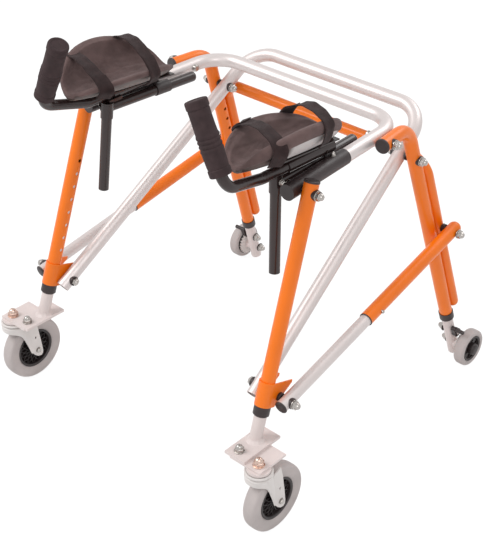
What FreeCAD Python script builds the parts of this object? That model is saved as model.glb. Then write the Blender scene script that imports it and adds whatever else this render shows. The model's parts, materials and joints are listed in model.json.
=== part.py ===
"""Folding reverse walker with forearm platforms, two front casters and two rear wheels.

Millimetres, +Z up, +X to the walker's right, the open front towards -Y.  The origin is on
the floor, midway between the two sides and midway between the foremost and rearmost points.
The right-hand pieces are modelled and the left-hand ones are their mirror images in X = 0.
"""
import FreeCAD, Part
import math
import os
from types import SimpleNamespace

import Sketcher
from FreeCAD import Placement, Rotation, Vector

os.makedirs("parts", exist_ok=True)
doc = FreeCAD.newDocument("ForearmWalker")

# ---------------------------------------------------------------------------
# Driving dimensions: alias, value, what it measures.  Stations along Y count
# from the lower end of the front leg tubes, heights from the floor, outsets
# and insets along X from the axis of the hand rail's front ends.
# ---------------------------------------------------------------------------
DIMENSIONS = (
    ("frame_diameter", 25.4, "outside diameter of the frame tubes"),
    ("slim_diameter", 22.2, "outside diameter of the tubes that slide inside them"),
    ("frame_wall", 1.5, "wall of both kinds of tube"),
    ("sliding_gap", 0.05, "radial gap of sliding and turning fits"),
    ("clearance", 0.3, "gap between pieces that move past each other"),
    ("bolt_diameter", 8.0, "pivot bolts"),
    ("nut_across_flats", 13.0, "acorn nuts of the pivot bolts"),
    ("nut_thickness", 5.0, "hexagonal part of an acorn nut"),
    ("head_diameter", 14.0, "domed bolt heads"),
    ("head_thickness", 5.0, "domed bolt heads"),
    ("saddle_diameter", 18.0, "curved washers under the nuts"),
    ("saddle_thickness", 2.6, "curved washers at their thinnest"),
    ("hole_pitch", 25.4, "steps of the height holes"),
    ("hole_diameter", 7.0, "height holes"),
    ("hole_count", 8.0, "height holes in a row"),
    ("bar_level", 569.0, "axis of the hand rail"),
    ("rail_half_width", 233.3, "rail axis from the middle at its front end"),
    ("rail_front", 97.0, "station of the rail's front ends"),
    ("rail_back", 412.0, "station of the rail's cross bar"),
    ("rail_taper", 3.365, "degrees that each rail arm closes in towards the back"),
    ("u_bend_radius", 60.0, "centreline bends of the two silver tubes"),
    ("leg_pivot_y", 118.5, "front leg pivot"),
    ("leg_pivot_outset", 26.2, "front leg axis at its pivot"),
    ("leg_foot_outset", 37.1, "front leg axis at the tube's lower end"),
    ("leg_foot_level", 220.6, "lower end of the front leg tube"),
    ("leg_overrun", 17.0, "front leg tube above its pivot"),
    ("rear_pivot_y", 340.0, "pivot of the rear frame on the rail"),
    ("stub_outset", 13.1, "axis of the rear leg's top stub at its pivot"),
    ("stub_front", 322.0, "station of the stub's front end"),
    ("rear_bend_radius", 45.0, "bend between rear leg and stub"),
    ("rear_foot_outset", 30.2, "rear leg axis at the tube's lower end"),
    ("rear_foot_y", 550.9, "rear leg axis at the tube's lower end"),
    ("rear_foot_level", 122.7, "lower end of the rear leg tube"),
    ("diagonal_pivot_outset", 8.5, "rear leg axis at the diagonal's pivot"),
    ("diagonal_pivot_y", 428.5, "diagonal's pivot on the rear leg"),
    ("diagonal_pivot_level", 501.2, "diagonal's pivot on the rear leg"),
    ("bracket_pivot_y", 24.0, "bolts of diagonal and brace at the front bracket"),
    ("bracket_pivot_level", 232.0, "bolts of diagonal and brace at the front bracket"),
    ("diagonal_front_outset", 7.7, "diagonal's axis at the front bracket"),
    ("diagonal_rear_inset", 21.7, "diagonal's axis at its rear pivot"),
    ("diagonal_back", 509.0, "station of the diagonal's cross bar"),
    ("diagonal_overrun", 20.0, "diagonal past the front bracket's bolt"),
    ("cross_offset", 25.4, "axis of the cross frame behind the rear leg"),
    ("cross_level", 488.5, "cross bar of the cross frame"),
    ("cross_foot_level", 137.0, "rounded lower ends of the cross frame"),
    ("cross_bend_radius", 42.0, "shoulders of the cross frame"),
    ("upper_tab_level", 360.0, "upper welded tabs of the cross frame"),
    ("lower_tab_level", 172.0, "lower welded tabs of the cross frame"),
    ("brace_pivot_level", 333.0, "brace's pivot on the cross frame"),
    ("brace_rear_outset", 49.7, "brace's axis at its rear pivot"),
    ("brace_front_outset", 69.7, "brace's axis at the front bracket"),
    ("brace_sleeve_length", 273.0, "outer tube from its pivot to its open end"),
    ("brace_sleeve_overrun", 22.0, "outer tube past its pivot"),
    ("brace_overlap", 138.0, "inner tube inside the outer tube"),
    ("brace_overrun", 16.0, "inner tube past its bolt"),
    ("brace_button_setback", 31.0, "snap button from the outer tube's open end"),
    ("brace_button_rise", 4.0, "snap button above the outer tube"),
    ("brace_boss", 1.1, "boss on the front bracket, beside the brace"),
    ("bracket_sheet", 2.5, "sheet of the front bracket"),
    ("bracket_height", 43.5, "front bracket along the leg"),
    ("bracket_reach", 46.0, "cheeks of the front bracket behind the leg axis"),
    ("bracket_heel", 11.0, "foot of the cheeks' slanted edge, behind the leg axis"),
    ("bracket_tip", 4.5, "upright end of the cheeks"),
    ("collar_diameter", 28.6, "plastic collars at the leg ends"),
    ("collar_length", 19.0, "plastic collars at the leg ends"),
    ("stem_insert", 232.0, "stem tubes inside the front legs"),
    ("rear_stem_insert", 200.0, "stem tubes inside the rear legs"),
    ("pad_plate_level", 160.0, "top of the plate under the front stem"),
    ("pad_plate_width", 44.0, "plate under the front stem, across"),
    ("pad_plate_length", 90.0, "plate under the front stem, fore and aft"),
    ("pad_plate_thickness", 5.0, "plate under the front stem"),
    ("pad_plate_lead", 10.2, "plate's middle ahead of the stem"),
    ("pad_plate_outset", 3.4, "plate's middle outside the stem"),
    ("caster_plate_size", 66.0, "square caster plate"),
    ("caster_plate_thickness", 4.0, "square caster plate"),
    ("caster_outset", 82.2, "swivel axis of the caster"),
    ("caster_y", -60.0, "swivel axis of the caster"),
    ("caster_edge", 15.5, "swivel axis from the caster plate's corner edges"),
    ("race_diameter", 46.0, "bearing race of the caster"),
    ("race_height", 5.0, "fixed upper race"),
    ("crown_height", 13.0, "turning lower race"),
    ("fork_sheet", 3.0, "fork legs and crown sheet"),
    ("fork_inside", 31.0, "between the fork legs"),
    ("fork_width", 40.0, "fork leg where it leaves the crown"),
    ("fork_end_radius", 9.0, "fork leg round the axle"),
    ("trail", 35.4, "wheel axle behind the swivel axis"),
    ("axle_diameter", 8.0, "wheel axles"),
    ("caster_radius", 63.5, "front wheel"),
    ("caster_width", 26.0, "front wheel's tyre"),
    ("caster_rim_radius", 40.0, "front wheel's hub disc"),
    ("hub_boss_radius", 11.0, "front wheel's hub boss"),
    ("hub_width", 29.0, "front wheel's hub boss, end to end"),
    ("hub_web", 9.0, "front wheel's hub disc thickness"),
    ("rear_wheel_outset", 71.5, "rear wheel's middle"),
    ("rear_wheel_y", 582.7, "rear wheel's axle"),
    ("rear_wheel_radius", 38.0, "rear wheel"),
    ("rear_wheel_width", 22.0, "rear wheel's tyre"),
    ("rear_rim_radius", 26.0, "rear wheel's hub"),
    ("rear_boss_reach", 8.0, "rear wheel's centre boss past its outer face"),
    ("rear_hole_diameter", 8.0, "round holes in the rear hub"),
    ("rear_stem_end", 13.0, "lower end of the rear stem above the floor"),
    ("pawl_level", 72.3, "pivot of the rear wheel's pawl"),
    ("pawl_thickness", 9.0, "pawl plate"),
    ("pawl_length", 15.0, "pawl's finger from its pivot"),
    ("pawl_rise", 128.0, "degrees from the rear to the pawl's finger"),
    ("sleeve_diameter", 28.0, "plastic sleeve on the rail arm"),
    ("sleeve_length", 153.0, "plastic sleeve on the rail arm"),
    ("arm_tube_diameter", 19.0, "support tube, post and handle tube of the platform"),
    ("support_inset", 30.2, "support tube's axis inside the rail arm"),
    ("support_drop", 2.2, "support tube's axis below the rail arm, half-way"),
    ("support_back", 321.0, "support tube's rear end"),
    ("clamp_diameter", 22.6, "collars round the platform's tubes"),
    ("clamp_front", 223.0, "front of the collar that guides the support tube"),
    ("clamp_length", 33.0, "collar that guides the support tube"),
    ("post_inset", 35.3, "post axis at the support tube"),
    ("post_y", 108.5, "post axis at the support tube"),
    ("post_lean_in", 3.7, "degrees that the post leans in"),
    ("post_lean_back", 4.4, "degrees that the post leans back"),
    ("post_drop", 161.0, "post below the support tube"),
    ("post_rise", 13.0, "post above the support tube"),
    ("post_clamp_length", 27.0, "collar that guides the post"),
    ("post_clamp_rise", 9.8, "top of that collar above the support tube's axis"),
    ("carrier_length", 112.0, "sleeve under the trough"),
    ("plate_width", 46.0, "plate under the trough"),
    ("plate_thickness", 2.5, "plate under the trough"),
    ("plate_front", 96.0, "front end of that plate"),
    ("plate_length", 152.0, "plate under the trough"),
    ("carrier_pitch", 1.0, "degrees that the sleeve rises towards the front"),
    ("carrier_diameter", 22.6, "sleeve under the trough"),
    ("carrier_front", 124.0, "front end of the sleeve under the trough"),
    ("carrier_inset", 29.3, "sleeve under the trough"),
    ("carrier_level", 592.0, "sleeve under the trough"),
    ("handle_diameter", 19.0, "handle tube"),
    ("handle_insert", 90.0, "handle tube inside the sleeve"),
    ("handle_front", -23.0, "grip's station"),
    ("handle_elbow_drop", 22.0, "handle tube's elbow below the grip, along the grip"),
    ("handle_lead", 55.0, "straight handle tube ahead of the sleeve"),
    ("handle_bend_radius", 26.0, "handle tube's bend"),
    ("grip_lean", 25.2, "degrees that the grip leans in"),
    ("grip_base_level", 636.0, "lower end of the grip"),
    ("grip_base_inset", 29.7, "lower end of the grip"),
    ("grip_length", 119.0, "foam grip"),
    ("grip_diameter", 33.6, "foam grip"),
    ("grip_flange_diameter", 36.4, "foam grip's end rings"),
    ("trough_middle", 134.0, "station of the trough's widest part"),
    ("trough_half_length", 118.0, "trough from its widest part to its ends"),
    ("trough_inset", 41.8, "lowest line of the trough"),
    ("trough_level", 609.0, "lowest line of the trough at its widest part"),
    ("trough_pitch", 4.6, "degrees that the trough rises towards the front"),
    ("trough_half_width", 65.0, "trough at its rims"),
    ("trough_outer_height", 64.0, "outer rim above the lowest line"),
    ("trough_inner_height", 38.0, "inner rim above the lowest line"),
    ("trough_shell", 3.0, "trough's shell"),
    ("trough_padding", 8.0, "trough's lining"),
    ("strap_width", 38.0, "hook-and-loop straps"),
    ("strap_thickness", 2.5, "hook-and-loop straps"),
    ("strap_gap", 0.8, "straps clear of the trough"),
    ("strap_tail", 46.0, "straps down the trough's outer wall"),
    ("strap_inner_tail", 26.0, "straps down the trough's inner wall"),
    ("front_strap_y", 72.0, "middle of the front strap"),
    ("front_strap_rise", 64.0, "top of the front strap above the trough's lowest line"),
    ("rear_strap_y", 177.0, "middle of the rear strap"),
    ("rear_strap_rise", 75.0, "top of the rear strap above the trough's lowest line"),
)

sheet = doc.addObject("Spreadsheet::Sheet", "Sizes")
for row, (alias, number, note) in enumerate(DIMENSIONS, start=1):
    sheet.set(f"A{row}", note)
    sheet.set(f"B{row}", str(number))
    sheet.setAlias(f"B{row}", alias)
doc.recompute()
size = SimpleNamespace(**{alias: float(sheet.get(alias)) for alias, _, _ in DIMENSIONS})

# ---------------------------------------------------------------------------
# Derived values
# ---------------------------------------------------------------------------
X_AXIS = Vector(1, 0, 0)
Y_AXIS = Vector(0, 1, 0)
Z_AXIS = Vector(0, 0, 1)
FRAME_RADIUS = size.frame_diameter / 2
SLIM_RADIUS = size.slim_diameter / 2
BORE_RADIUS = SLIM_RADIUS + size.sliding_gap
BOLT_RADIUS = size.bolt_diameter / 2
BOLT_HOLE = BOLT_RADIUS + size.sliding_gap
ARM_RADIUS = size.arm_tube_diameter / 2
WHOLE_WIDTH = 700.0
LEAN_GAP = 0.5
CASTER_AXLE_Y = size.caster_y + size.trail
FOREMOST = CASTER_AXLE_Y - size.caster_radius
REARMOST = size.rear_wheel_y + size.rear_wheel_radius
MIDDLE = (FOREMOST + REARMOST) / 2


def out_by(distance):
    """X of something outside the hand rail's front end."""
    return size.rail_half_width + distance


def in_by(distance):
    """X of something inside the hand rail's front end."""
    return size.rail_half_width - distance


def at(x, station, level):
    """Point of the row frame from a distance off the middle, a station and a level."""
    return Vector(x, station - MIDDLE, level)


def unit(vector):
    """Copy of a vector at length one."""
    return Vector(vector).normalize()


def along(start, direction, distance):
    """Point at a distance from start."""
    return start + unit(direction) * distance


def at_level(start, direction, level):
    """Point of a line at a height."""
    return start + direction * ((level - start.z) / direction.z)


def at_station(start, direction, station):
    """Point of a line at a station."""
    return start + direction * ((station - MIDDLE - start.y) / direction.y)


# Rail arm, legs, diagonal, cross frame and brace as lines
RAIL_FRONT = at(size.rail_half_width, size.rail_front, size.bar_level)
RAIL_RUN = Vector(-math.tan(math.radians(size.rail_taper)), 1, 0)
LEG_PIVOT = at(out_by(size.leg_pivot_outset), size.leg_pivot_y, size.bar_level)
LEG_FOOT = at(out_by(size.leg_foot_outset), 0, size.leg_foot_level)
LEG_UP = unit(LEG_PIVOT - LEG_FOOT)
LEG_LENGTH = (LEG_PIVOT - LEG_FOOT).Length + size.leg_overrun
REAR_FOOT = at(out_by(size.rear_foot_outset), size.rear_foot_y, size.rear_foot_level)
DIAGONAL_PIVOT = at(out_by(size.diagonal_pivot_outset), size.diagonal_pivot_y, size.diagonal_pivot_level)
REAR_UP = unit(DIAGONAL_PIVOT - REAR_FOOT)
REAR_CORNER = at_level(REAR_FOOT, REAR_UP, size.bar_level)
REAR_PIVOT = at(out_by(size.stub_outset), size.rear_pivot_y, size.bar_level)
STUB_FRONT = at_station(REAR_CORNER, REAR_PIVOT - REAR_CORNER, size.stub_front)
STUB_BACKWARD = unit(REAR_CORNER - STUB_FRONT)
DIAGONAL_LOW = at(out_by(size.diagonal_front_outset), size.bracket_pivot_y, size.bracket_pivot_level)
DIAGONAL_LEG_X = at_level(LEG_FOOT, LEG_UP, size.bracket_pivot_level).x
DIAGONAL_HIGH = at(in_by(size.diagonal_rear_inset), size.diagonal_pivot_y, size.diagonal_pivot_level)
DIAGONAL_UP = unit(DIAGONAL_HIGH - DIAGONAL_LOW)
BEHIND_REAR_LEG = unit(REAR_UP.cross(X_AXIS)) * size.cross_offset
CROSS_FOOT = REAR_FOOT + BEHIND_REAR_LEG
BRACE_HINGE = at_level(CROSS_FOOT, REAR_UP, size.brace_pivot_level)
BRACE_REAR = Vector(out_by(size.brace_rear_outset), BRACE_HINGE.y, BRACE_HINGE.z)
BRACE_FRONT = at(out_by(size.brace_front_outset), size.bracket_pivot_y, size.bracket_pivot_level)
BRACE_FORWARD = unit(BRACE_FRONT - BRACE_REAR)
STEM_FOOT = at_level(LEG_FOOT, LEG_UP, size.pad_plate_level)

# Rear wheel and its stem
AXLE_CENTRE = at(out_by(size.rear_wheel_outset), size.rear_wheel_y, size.rear_wheel_radius)
REAR_STEM_FOOT = at_level(REAR_FOOT, REAR_UP, size.rear_stem_end)
STEM_AT_AXLE = at_level(REAR_FOOT, REAR_UP, size.rear_wheel_radius)
STEM_AT_PAWL = at_level(REAR_FOOT, REAR_UP, size.pawl_level)

# Forearm platform: support tube, post, sleeve under the trough, handle
SUPPORT_POINT = at_station(RAIL_FRONT, RAIL_RUN, size.post_y) - Vector(size.support_inset, 0, 0)
SUPPORT_REAR = at_station(RAIL_FRONT, RAIL_RUN, size.support_back)
SUPPORT_REAR = SUPPORT_REAR - Vector(size.support_inset, 0, 2 * size.support_drop)
SUPPORT_RUN = unit(SUPPORT_REAR - SUPPORT_POINT)
POST_JOINT = at(in_by(size.post_inset), size.post_y, SUPPORT_POINT.z)
POST_UP = unit(Vector(
    -math.tan(math.radians(size.post_lean_in)), math.tan(math.radians(size.post_lean_back)), 1))
CARRIER_FRONT = at(in_by(size.carrier_inset), size.carrier_front, size.carrier_level)
CARRIER_RUN = unit(Vector(0.018, 1, -math.tan(math.radians(size.carrier_pitch))))
GRIP_BASE = at(in_by(size.grip_base_inset), size.handle_front, size.grip_base_level)
GRIP_UP = Vector(
    -math.sin(math.radians(size.grip_lean)), 0, math.cos(math.radians(size.grip_lean)))

pieces = {}


# ---------------------------------------------------------------------------
# Helpers
# ---------------------------------------------------------------------------
def bind(thing, **properties):
    """Set properties: text is a sheet formula, anything else a plain value."""
    for name, value in properties.items():
        if isinstance(value, str):
            thing.setExpression(name, value)
        else:
            setattr(thing, name, value)
    return thing


def facing(origin, direction, upward=Z_AXIS):
    """Placement at origin with its Z along direction and its Y near upward."""
    forward = unit(direction)
    side = upward.cross(forward)
    if side.Length < 1e-6:
        side = X_AXIS
    return Placement(origin, Rotation(unit(side), forward.cross(unit(side)), forward, "ZXY"))


def cylinder(name, radius, height, placement):
    """Part cylinder from its placement's origin along its Z."""
    return bind(doc.addObject("Part::Cylinder", name), Radius=radius, Height=height,
                Placement=placement)


def cut(name, base, tool):
    """Part cut of one object by another."""
    return bind(doc.addObject("Part::Cut", name), Base=base, Tool=tool)


def fuse(name, *members):
    """Part fusion of several objects."""
    return bind(doc.addObject("Part::MultiFuse", name), Shapes=list(members))


def feature(name, shape):
    """Part feature that holds a shape made with Part's own functions."""
    thing = doc.addObject("Part::Feature", name)
    thing.Shape = shape
    thing.Placement = Placement()
    return thing


def keep(label, thing):
    """Make an object one of the walker's pieces."""
    thing.Label = label
    pieces[label] = thing
    return thing


def pair(label, thing):
    """Keep a right-hand piece and its mirror image for the left."""
    keep(f"{label}_right", thing)
    mirror = doc.addObject("Part::Mirroring", f"{label}_mirror")
    keep(f"{label}_left", bind(mirror, Source=thing, Base=Vector(), Normal=X_AXIS))


def both_sides(label, shapes):
    """Keep right-hand shapes and their mirror images together as one piece group."""
    mirrored = [shape.mirror(Vector(), X_AXIS) for shape in shapes]
    return keep(label, feature(label, Part.makeCompound(shapes + mirrored)))


def origin_plane(body, role):
    """A body's own origin plane."""
    return next(plane for plane in body.Origin.OriginFeatures if plane.Role == role)


def outline(body, name, role, corners):
    """Closed straight outline whose corners are pairs of sheet formulas."""
    sketch = body.newObject("Sketcher::SketchObject", name)
    sketch.AttachmentSupport = [(origin_plane(body, role), "")]
    sketch.MapMode = "FlatFace"
    points = [Vector(*[float(sketch.evalExpression(text)) for text in corner], 0)
              for corner in corners]
    following = points[1:] + points[:1]
    for start, end in zip(points, following):
        sketch.addGeometry(Part.LineSegment(start, end), False)
    for index in range(len(points)):
        sketch.addConstraint(
            Sketcher.Constraint("Coincident", index, 2, (index + 1) % len(points), 1))
    for index, (corner, point) in enumerate(zip(corners, points)):
        for kind, formula, value in zip(("DistanceX", "DistanceY"), corner, point):
            number = sketch.addConstraint(Sketcher.Constraint(kind, -1, 1, index, 1, value))
            sketch.setExpression(f"Constraints[{number}]", formula)
    return sketch


def turned(name, corners, placement):
    """Body turned round its Z: corners are formulas for radius and distance along Z."""
    body = doc.addObject("PartDesign::Body", name)
    sketch = outline(body, f"{name}_profile", "XZ_Plane", corners)
    turning = body.newObject("PartDesign::Revolution", f"{name}_turning")
    bind(turning, Profile=sketch, ReferenceAxis=(sketch, ["V_Axis"]), Angle=360.0)
    sketch.Visibility = False
    body.Placement = placement
    return body


def circle_sketch(body, name, role, radius, centre):
    """Circle whose radius and centre are sheet formulas."""
    sketch = body.newObject("Sketcher::SketchObject", name)
    sketch.AttachmentSupport = [(origin_plane(body, role), "")]
    sketch.MapMode = "FlatFace"
    values = [float(sketch.evalExpression(text)) for text in (radius, *centre)]
    sketch.addGeometry(Part.Circle(Vector(values[1], values[2], 0), Z_AXIS, values[0]), False)
    constraints = (
        (Sketcher.Constraint("Radius", 0, values[0]), radius),
        (Sketcher.Constraint("DistanceX", -1, 1, 0, 3, values[1]), centre[0]),
        (Sketcher.Constraint("DistanceY", -1, 1, 0, 3, values[2]), centre[1]),
    )
    for constraint, formula in constraints:
        sketch.setExpression(f"Constraints[{sketch.addConstraint(constraint)}]", formula)
    return sketch


def drill_through(body, name, role, radius, centre):
    """Round hole right through a body along the normal of one of its origin planes."""
    sketch = circle_sketch(body, f"{name}_outline", role, radius, centre)
    pocket = body.newObject("PartDesign::Pocket", name)
    bind(pocket, Profile=sketch, Type=1, Midplane=True)
    doc.recompute()
    return pocket


def ring_of(body, feature_to_repeat, count, name):
    """Repeat a feature round the body's Z."""
    pattern = body.newObject("PartDesign::PolarPattern", name)
    axis = next(line for line in body.Origin.OriginFeatures if line.Role == "Z_Axis")
    bind(pattern, Originals=[feature_to_repeat], Axis=(axis, [""]), Angle=360.0, Occurrences=count)
    body.Tip = pattern
    return pattern


def rounded_path(points, radius):
    """Wire of straight runs joined by tangent arcs of one radius."""
    edges = []
    start = points[0]
    for before, corner, after in zip(points, points[1:], points[2:]):
        arriving = unit(corner - before)
        leaving = unit(after - corner)
        turn = arriving.getAngle(leaving)
        setback = radius * math.tan(turn / 2)
        arc_start = corner - arriving * setback
        arc_end = corner + leaving * setback
        inward = unit(leaving - arriving)
        middle = corner + inward * (radius / math.cos(turn / 2) - radius)
        edges.append(Part.LineSegment(start, arc_start).toShape())
        edges.append(Part.Arc(arc_start, middle, arc_end).toShape())
        start = arc_end
    edges.append(Part.LineSegment(start, points[-1]).toShape())
    return Part.Wire(edges)


def swept(path, radius):
    """Solid round bar along a path."""
    first = path.Edges[0]
    tangent = first.tangentAt(first.FirstParameter)
    start = first.valueAt(first.FirstParameter)
    ring = Part.Wire(Part.makeCircle(radius, start, tangent))
    return path.makePipeShell([ring], True, False)


def bent_tube(points, bend_radius, outer, inner):
    """Hollow round tube along straight runs joined by bends."""
    path = rounded_path(points, bend_radius)
    return swept(path, outer).cut(swept(path, inner))


def bar(start, end, radius):
    """Solid round bar between two points."""
    return Part.makeCylinder(radius, (end - start).Length, start, end - start)


def cross_hole(point, radius, reach):
    """Bar along X through a point, used to drill."""
    return bar(point - X_AXIS * reach, point + X_AXIS * reach, radius)


def acorn_nut(seat, outward):
    """Domed hexagonal nut whose flat face lies at seat."""
    corner = size.nut_across_flats / 2 / math.cos(math.pi / 6)
    rim = [Vector(corner * math.cos(math.pi / 3 * step), corner * math.sin(math.pi / 3 * step), 0)
           for step in range(7)]
    hexagon = Part.Face(Part.makePolygon(rim)).extrude(Z_AXIS * size.nut_thickness)
    dome = Part.makeSphere(size.nut_across_flats * 0.44, Vector(0, 0, size.nut_thickness * 0.6),
                           Z_AXIS, 0, 90, 360)
    nut = hexagon.fuse(dome)
    nut.Placement = facing(seat, outward)
    return nut


def domed_head(seat, outward):
    """Round bolt head whose flat face lies at seat."""
    head = Part.makeCylinder(size.head_diameter / 2, size.head_thickness)
    head = head.makeFillet(size.head_thickness * 0.55, [head.Edges[0]])
    head.Placement = facing(seat, outward)
    return head


def pivot_bolt(point, inner_x, outer_x, inner_end, outer_end):
    """Bolt along X through a point, with an end at each seat: a nut, a head or none."""
    inner = Vector(inner_x, point.y, point.z)
    outer = Vector(outer_x, point.y, point.z)
    solid = bar(inner, outer, BOLT_RADIUS)
    for end, seat, outward in ((inner_end, inner, -X_AXIS), (outer_end, outer, X_AXIS)):
        if end:
            solid = solid.fuse(end(seat, outward))
    return solid.removeSplitter()


def saddle(point, side, tube_axis, tube_radius):
    """Curved washer on the side of a tube, drilled for the bolt along X."""
    outward = X_AXIS * side
    disc = bar(point, point + outward * (tube_radius + size.saddle_thickness),
               size.saddle_diameter / 2)
    tube = bar(along(point, tube_axis, -40), along(point, tube_axis, 40), tube_radius)
    return disc.cut(tube).cut(cross_hole(point, BOLT_HOLE, 60))


def spacer(point, from_x, to_x, radius):
    """Ring round a bolt along X."""
    start = Vector(from_x, point.y, point.z)
    end = Vector(to_x, point.y, point.z)
    return bar(start, end, radius).cut(cross_hole(point, BOLT_HOLE, WHOLE_WIDTH))


def leg_collar(foot, upward):
    """Plastic collar below a leg tube, tapered at its lower edge, open for the stem."""
    outer = size.collar_diameter / 2
    ring = Part.makeCylinder(outer, size.collar_length)
    ring = ring.makeChamfer(2.5, [ring.Edges[0]])
    ring = ring.cut(Part.makeCylinder(BORE_RADIUS, size.collar_length))
    ring.Placement = facing(foot, -upward)
    return ring


def end_cap(face, outward, radius, bore):
    """Plastic plug in the open end of a tube, with a domed button outside."""
    dome = Part.makeCylinder(radius + 0.7, 4)
    dome = dome.makeFillet(2.2, [dome.Edges[0]])
    plug = Part.makeCylinder(bore - 0.1, 8, Vector(0, 0, -8))
    cap = dome.fuse(plug).removeSplitter()
    cap.Placement = facing(face, outward)
    return cap


# ---------------------------------------------------------------------------
# Hand rail, its sleeves and bolts
# ---------------------------------------------------------------------------
def hand_rail():
    """Silver U tube that carries everything."""
    corner = at_station(RAIL_FRONT, RAIL_RUN, size.rail_back)
    left_corner = Vector(-corner.x, corner.y, corner.z)
    left_front = Vector(-RAIL_FRONT.x, RAIL_FRONT.y, RAIL_FRONT.z)
    tube = bent_tube([RAIL_FRONT, corner, left_corner, left_front], size.u_bend_radius,
                     FRAME_RADIUS, FRAME_RADIUS - size.frame_wall)
    for pivot in (LEG_PIVOT, REAR_PIVOT):
        tube = tube.cut(cross_hole(pivot, BOLT_HOLE, WHOLE_WIDTH))
    keep("hand_rail", feature("hand_rail", tube))


def rail_x(pivot):
    """Distance of the rail's axis from the middle, beside a pivot."""
    return (RAIL_FRONT + RAIL_RUN * ((pivot.y - RAIL_FRONT.y) / RAIL_RUN.y)).x


def arm_bracket():
    """Plastic sleeve on the rail arm, joined to the collar that guides the support tube."""
    sleeve = cylinder("arm_sleeve", "Sizes.sleeve_diameter / 2", "Sizes.sleeve_length",
                      facing(RAIL_FRONT, RAIL_RUN))
    guide_front = at_station(SUPPORT_POINT, SUPPORT_RUN, size.clamp_front)
    guide = cylinder("guide_collar", "Sizes.clamp_diameter / 2", "Sizes.clamp_length",
                     facing(guide_front, SUPPORT_RUN))
    web = doc.addObject("Part::Box", "guide_web")
    web_place = at_station(SUPPORT_POINT, SUPPORT_RUN, size.clamp_front) + Vector(0, 0, -5)
    bind(web, Length="Sizes.support_inset", Width="Sizes.clamp_length", Height=8.0,
         Placement=Placement(web_place, Rotation(Z_AXIS, size.rail_taper)))
    cap = cylinder("sleeve_cap", "Sizes.sleeve_diameter / 2", 3.0,
                   facing(along(RAIL_FRONT, RAIL_RUN, -3), RAIL_RUN))
    solid = fuse("arm_bracket_blank", sleeve, guide, web, cap)
    rail_bore = cylinder("rail_bore", "Sizes.frame_diameter / 2", 400.0, facing(RAIL_FRONT, RAIL_RUN))
    guide_bore = cylinder("guide_bore", "Sizes.arm_tube_diameter / 2 + Sizes.sliding_gap",
                          "3 * Sizes.clamp_length",
                          facing(along(guide_front, SUPPORT_RUN, -size.clamp_length), SUPPORT_RUN))
    bolt_bore = cylinder("sleeve_bolt_bore", BOLT_HOLE, 60.0,
                         facing(Vector(rail_x(LEG_PIVOT) - 30, LEG_PIVOT.y, LEG_PIVOT.z), X_AXIS))
    bores = fuse("arm_bracket_bores", rail_bore, guide_bore, bolt_bore)
    pair("arm_bracket", cut("arm_bracket", solid, bores))


def rail_bolts():
    """Bolts of the leg pivots and of the rear frame's pivots, in the hand rail."""
    leg_inner = rail_x(LEG_PIVOT) - size.sleeve_diameter / 2 - LEAN_GAP
    leg_outer = LEG_PIVOT.x + FRAME_RADIUS + size.saddle_thickness
    rear_inner = rail_x(REAR_PIVOT) - FRAME_RADIUS
    rear_outer = REAR_PIVOT.x + FRAME_RADIUS + size.saddle_thickness
    both_sides("rail_bolts", [
        pivot_bolt(LEG_PIVOT, leg_inner, leg_outer, domed_head, acorn_nut),
        pivot_bolt(REAR_PIVOT, rear_inner, rear_outer, domed_head, acorn_nut),
    ])


# ---------------------------------------------------------------------------
# Front legs
# ---------------------------------------------------------------------------
def leg_bracket():
    """Sheet channel wrapped round the front of the leg, with two cheeks behind it."""
    inside = FRAME_RADIUS
    outside = inside + size.bracket_sheet
    reach = size.bracket_reach
    wrap = Part.makeCylinder(outside, size.bracket_height)
    cheeks = Part.makeBox(2 * outside, reach, size.bracket_height, Vector(-outside, 0, 0))
    hollow = Part.makeBox(2 * inside, reach, size.bracket_height, Vector(-inside, 0, 0))
    channel = wrap.fuse(cheeks).cut(hollow).cut(Part.makeCylinder(inside, size.bracket_height))
    heel = Vector(-outside, size.bracket_heel, 0)
    tip = Vector(-outside, reach, size.bracket_height - size.bracket_tip)
    rim = [heel, Vector(-outside, reach, 0), tip, heel]
    corner = Part.Face(Part.makePolygon(rim)).extrude(X_AXIS * 2 * outside)
    channel = channel.cut(corner)
    channel.Placement = facing(LEG_FOOT, LEG_UP, Y_AXIS)
    return channel.cut(cross_hole(DIAGONAL_LOW, BOLT_HOLE, WHOLE_WIDTH))


def front_leg():
    """Orange tube with its welded bracket, a row of height holes on its inner face."""
    tube = Part.makeCylinder(FRAME_RADIUS, LEG_LENGTH, LEG_FOOT, LEG_UP)
    tube = tube.cut(Part.makeCylinder(BORE_RADIUS, LEG_LENGTH, LEG_FOOT, LEG_UP))
    tube = tube.cut(cross_hole(LEG_PIVOT, BOLT_HOLE, 60))
    for step in range(int(size.hole_count)):
        place = along(LEG_FOOT, LEG_UP, size.stem_insert + 18 - step * size.hole_pitch)
        tube = tube.cut(bar(place, place - X_AXIS * 40, size.hole_diameter / 2))
    pair("front_leg", feature("front_leg", tube.fuse(leg_bracket()).removeSplitter()))


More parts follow.
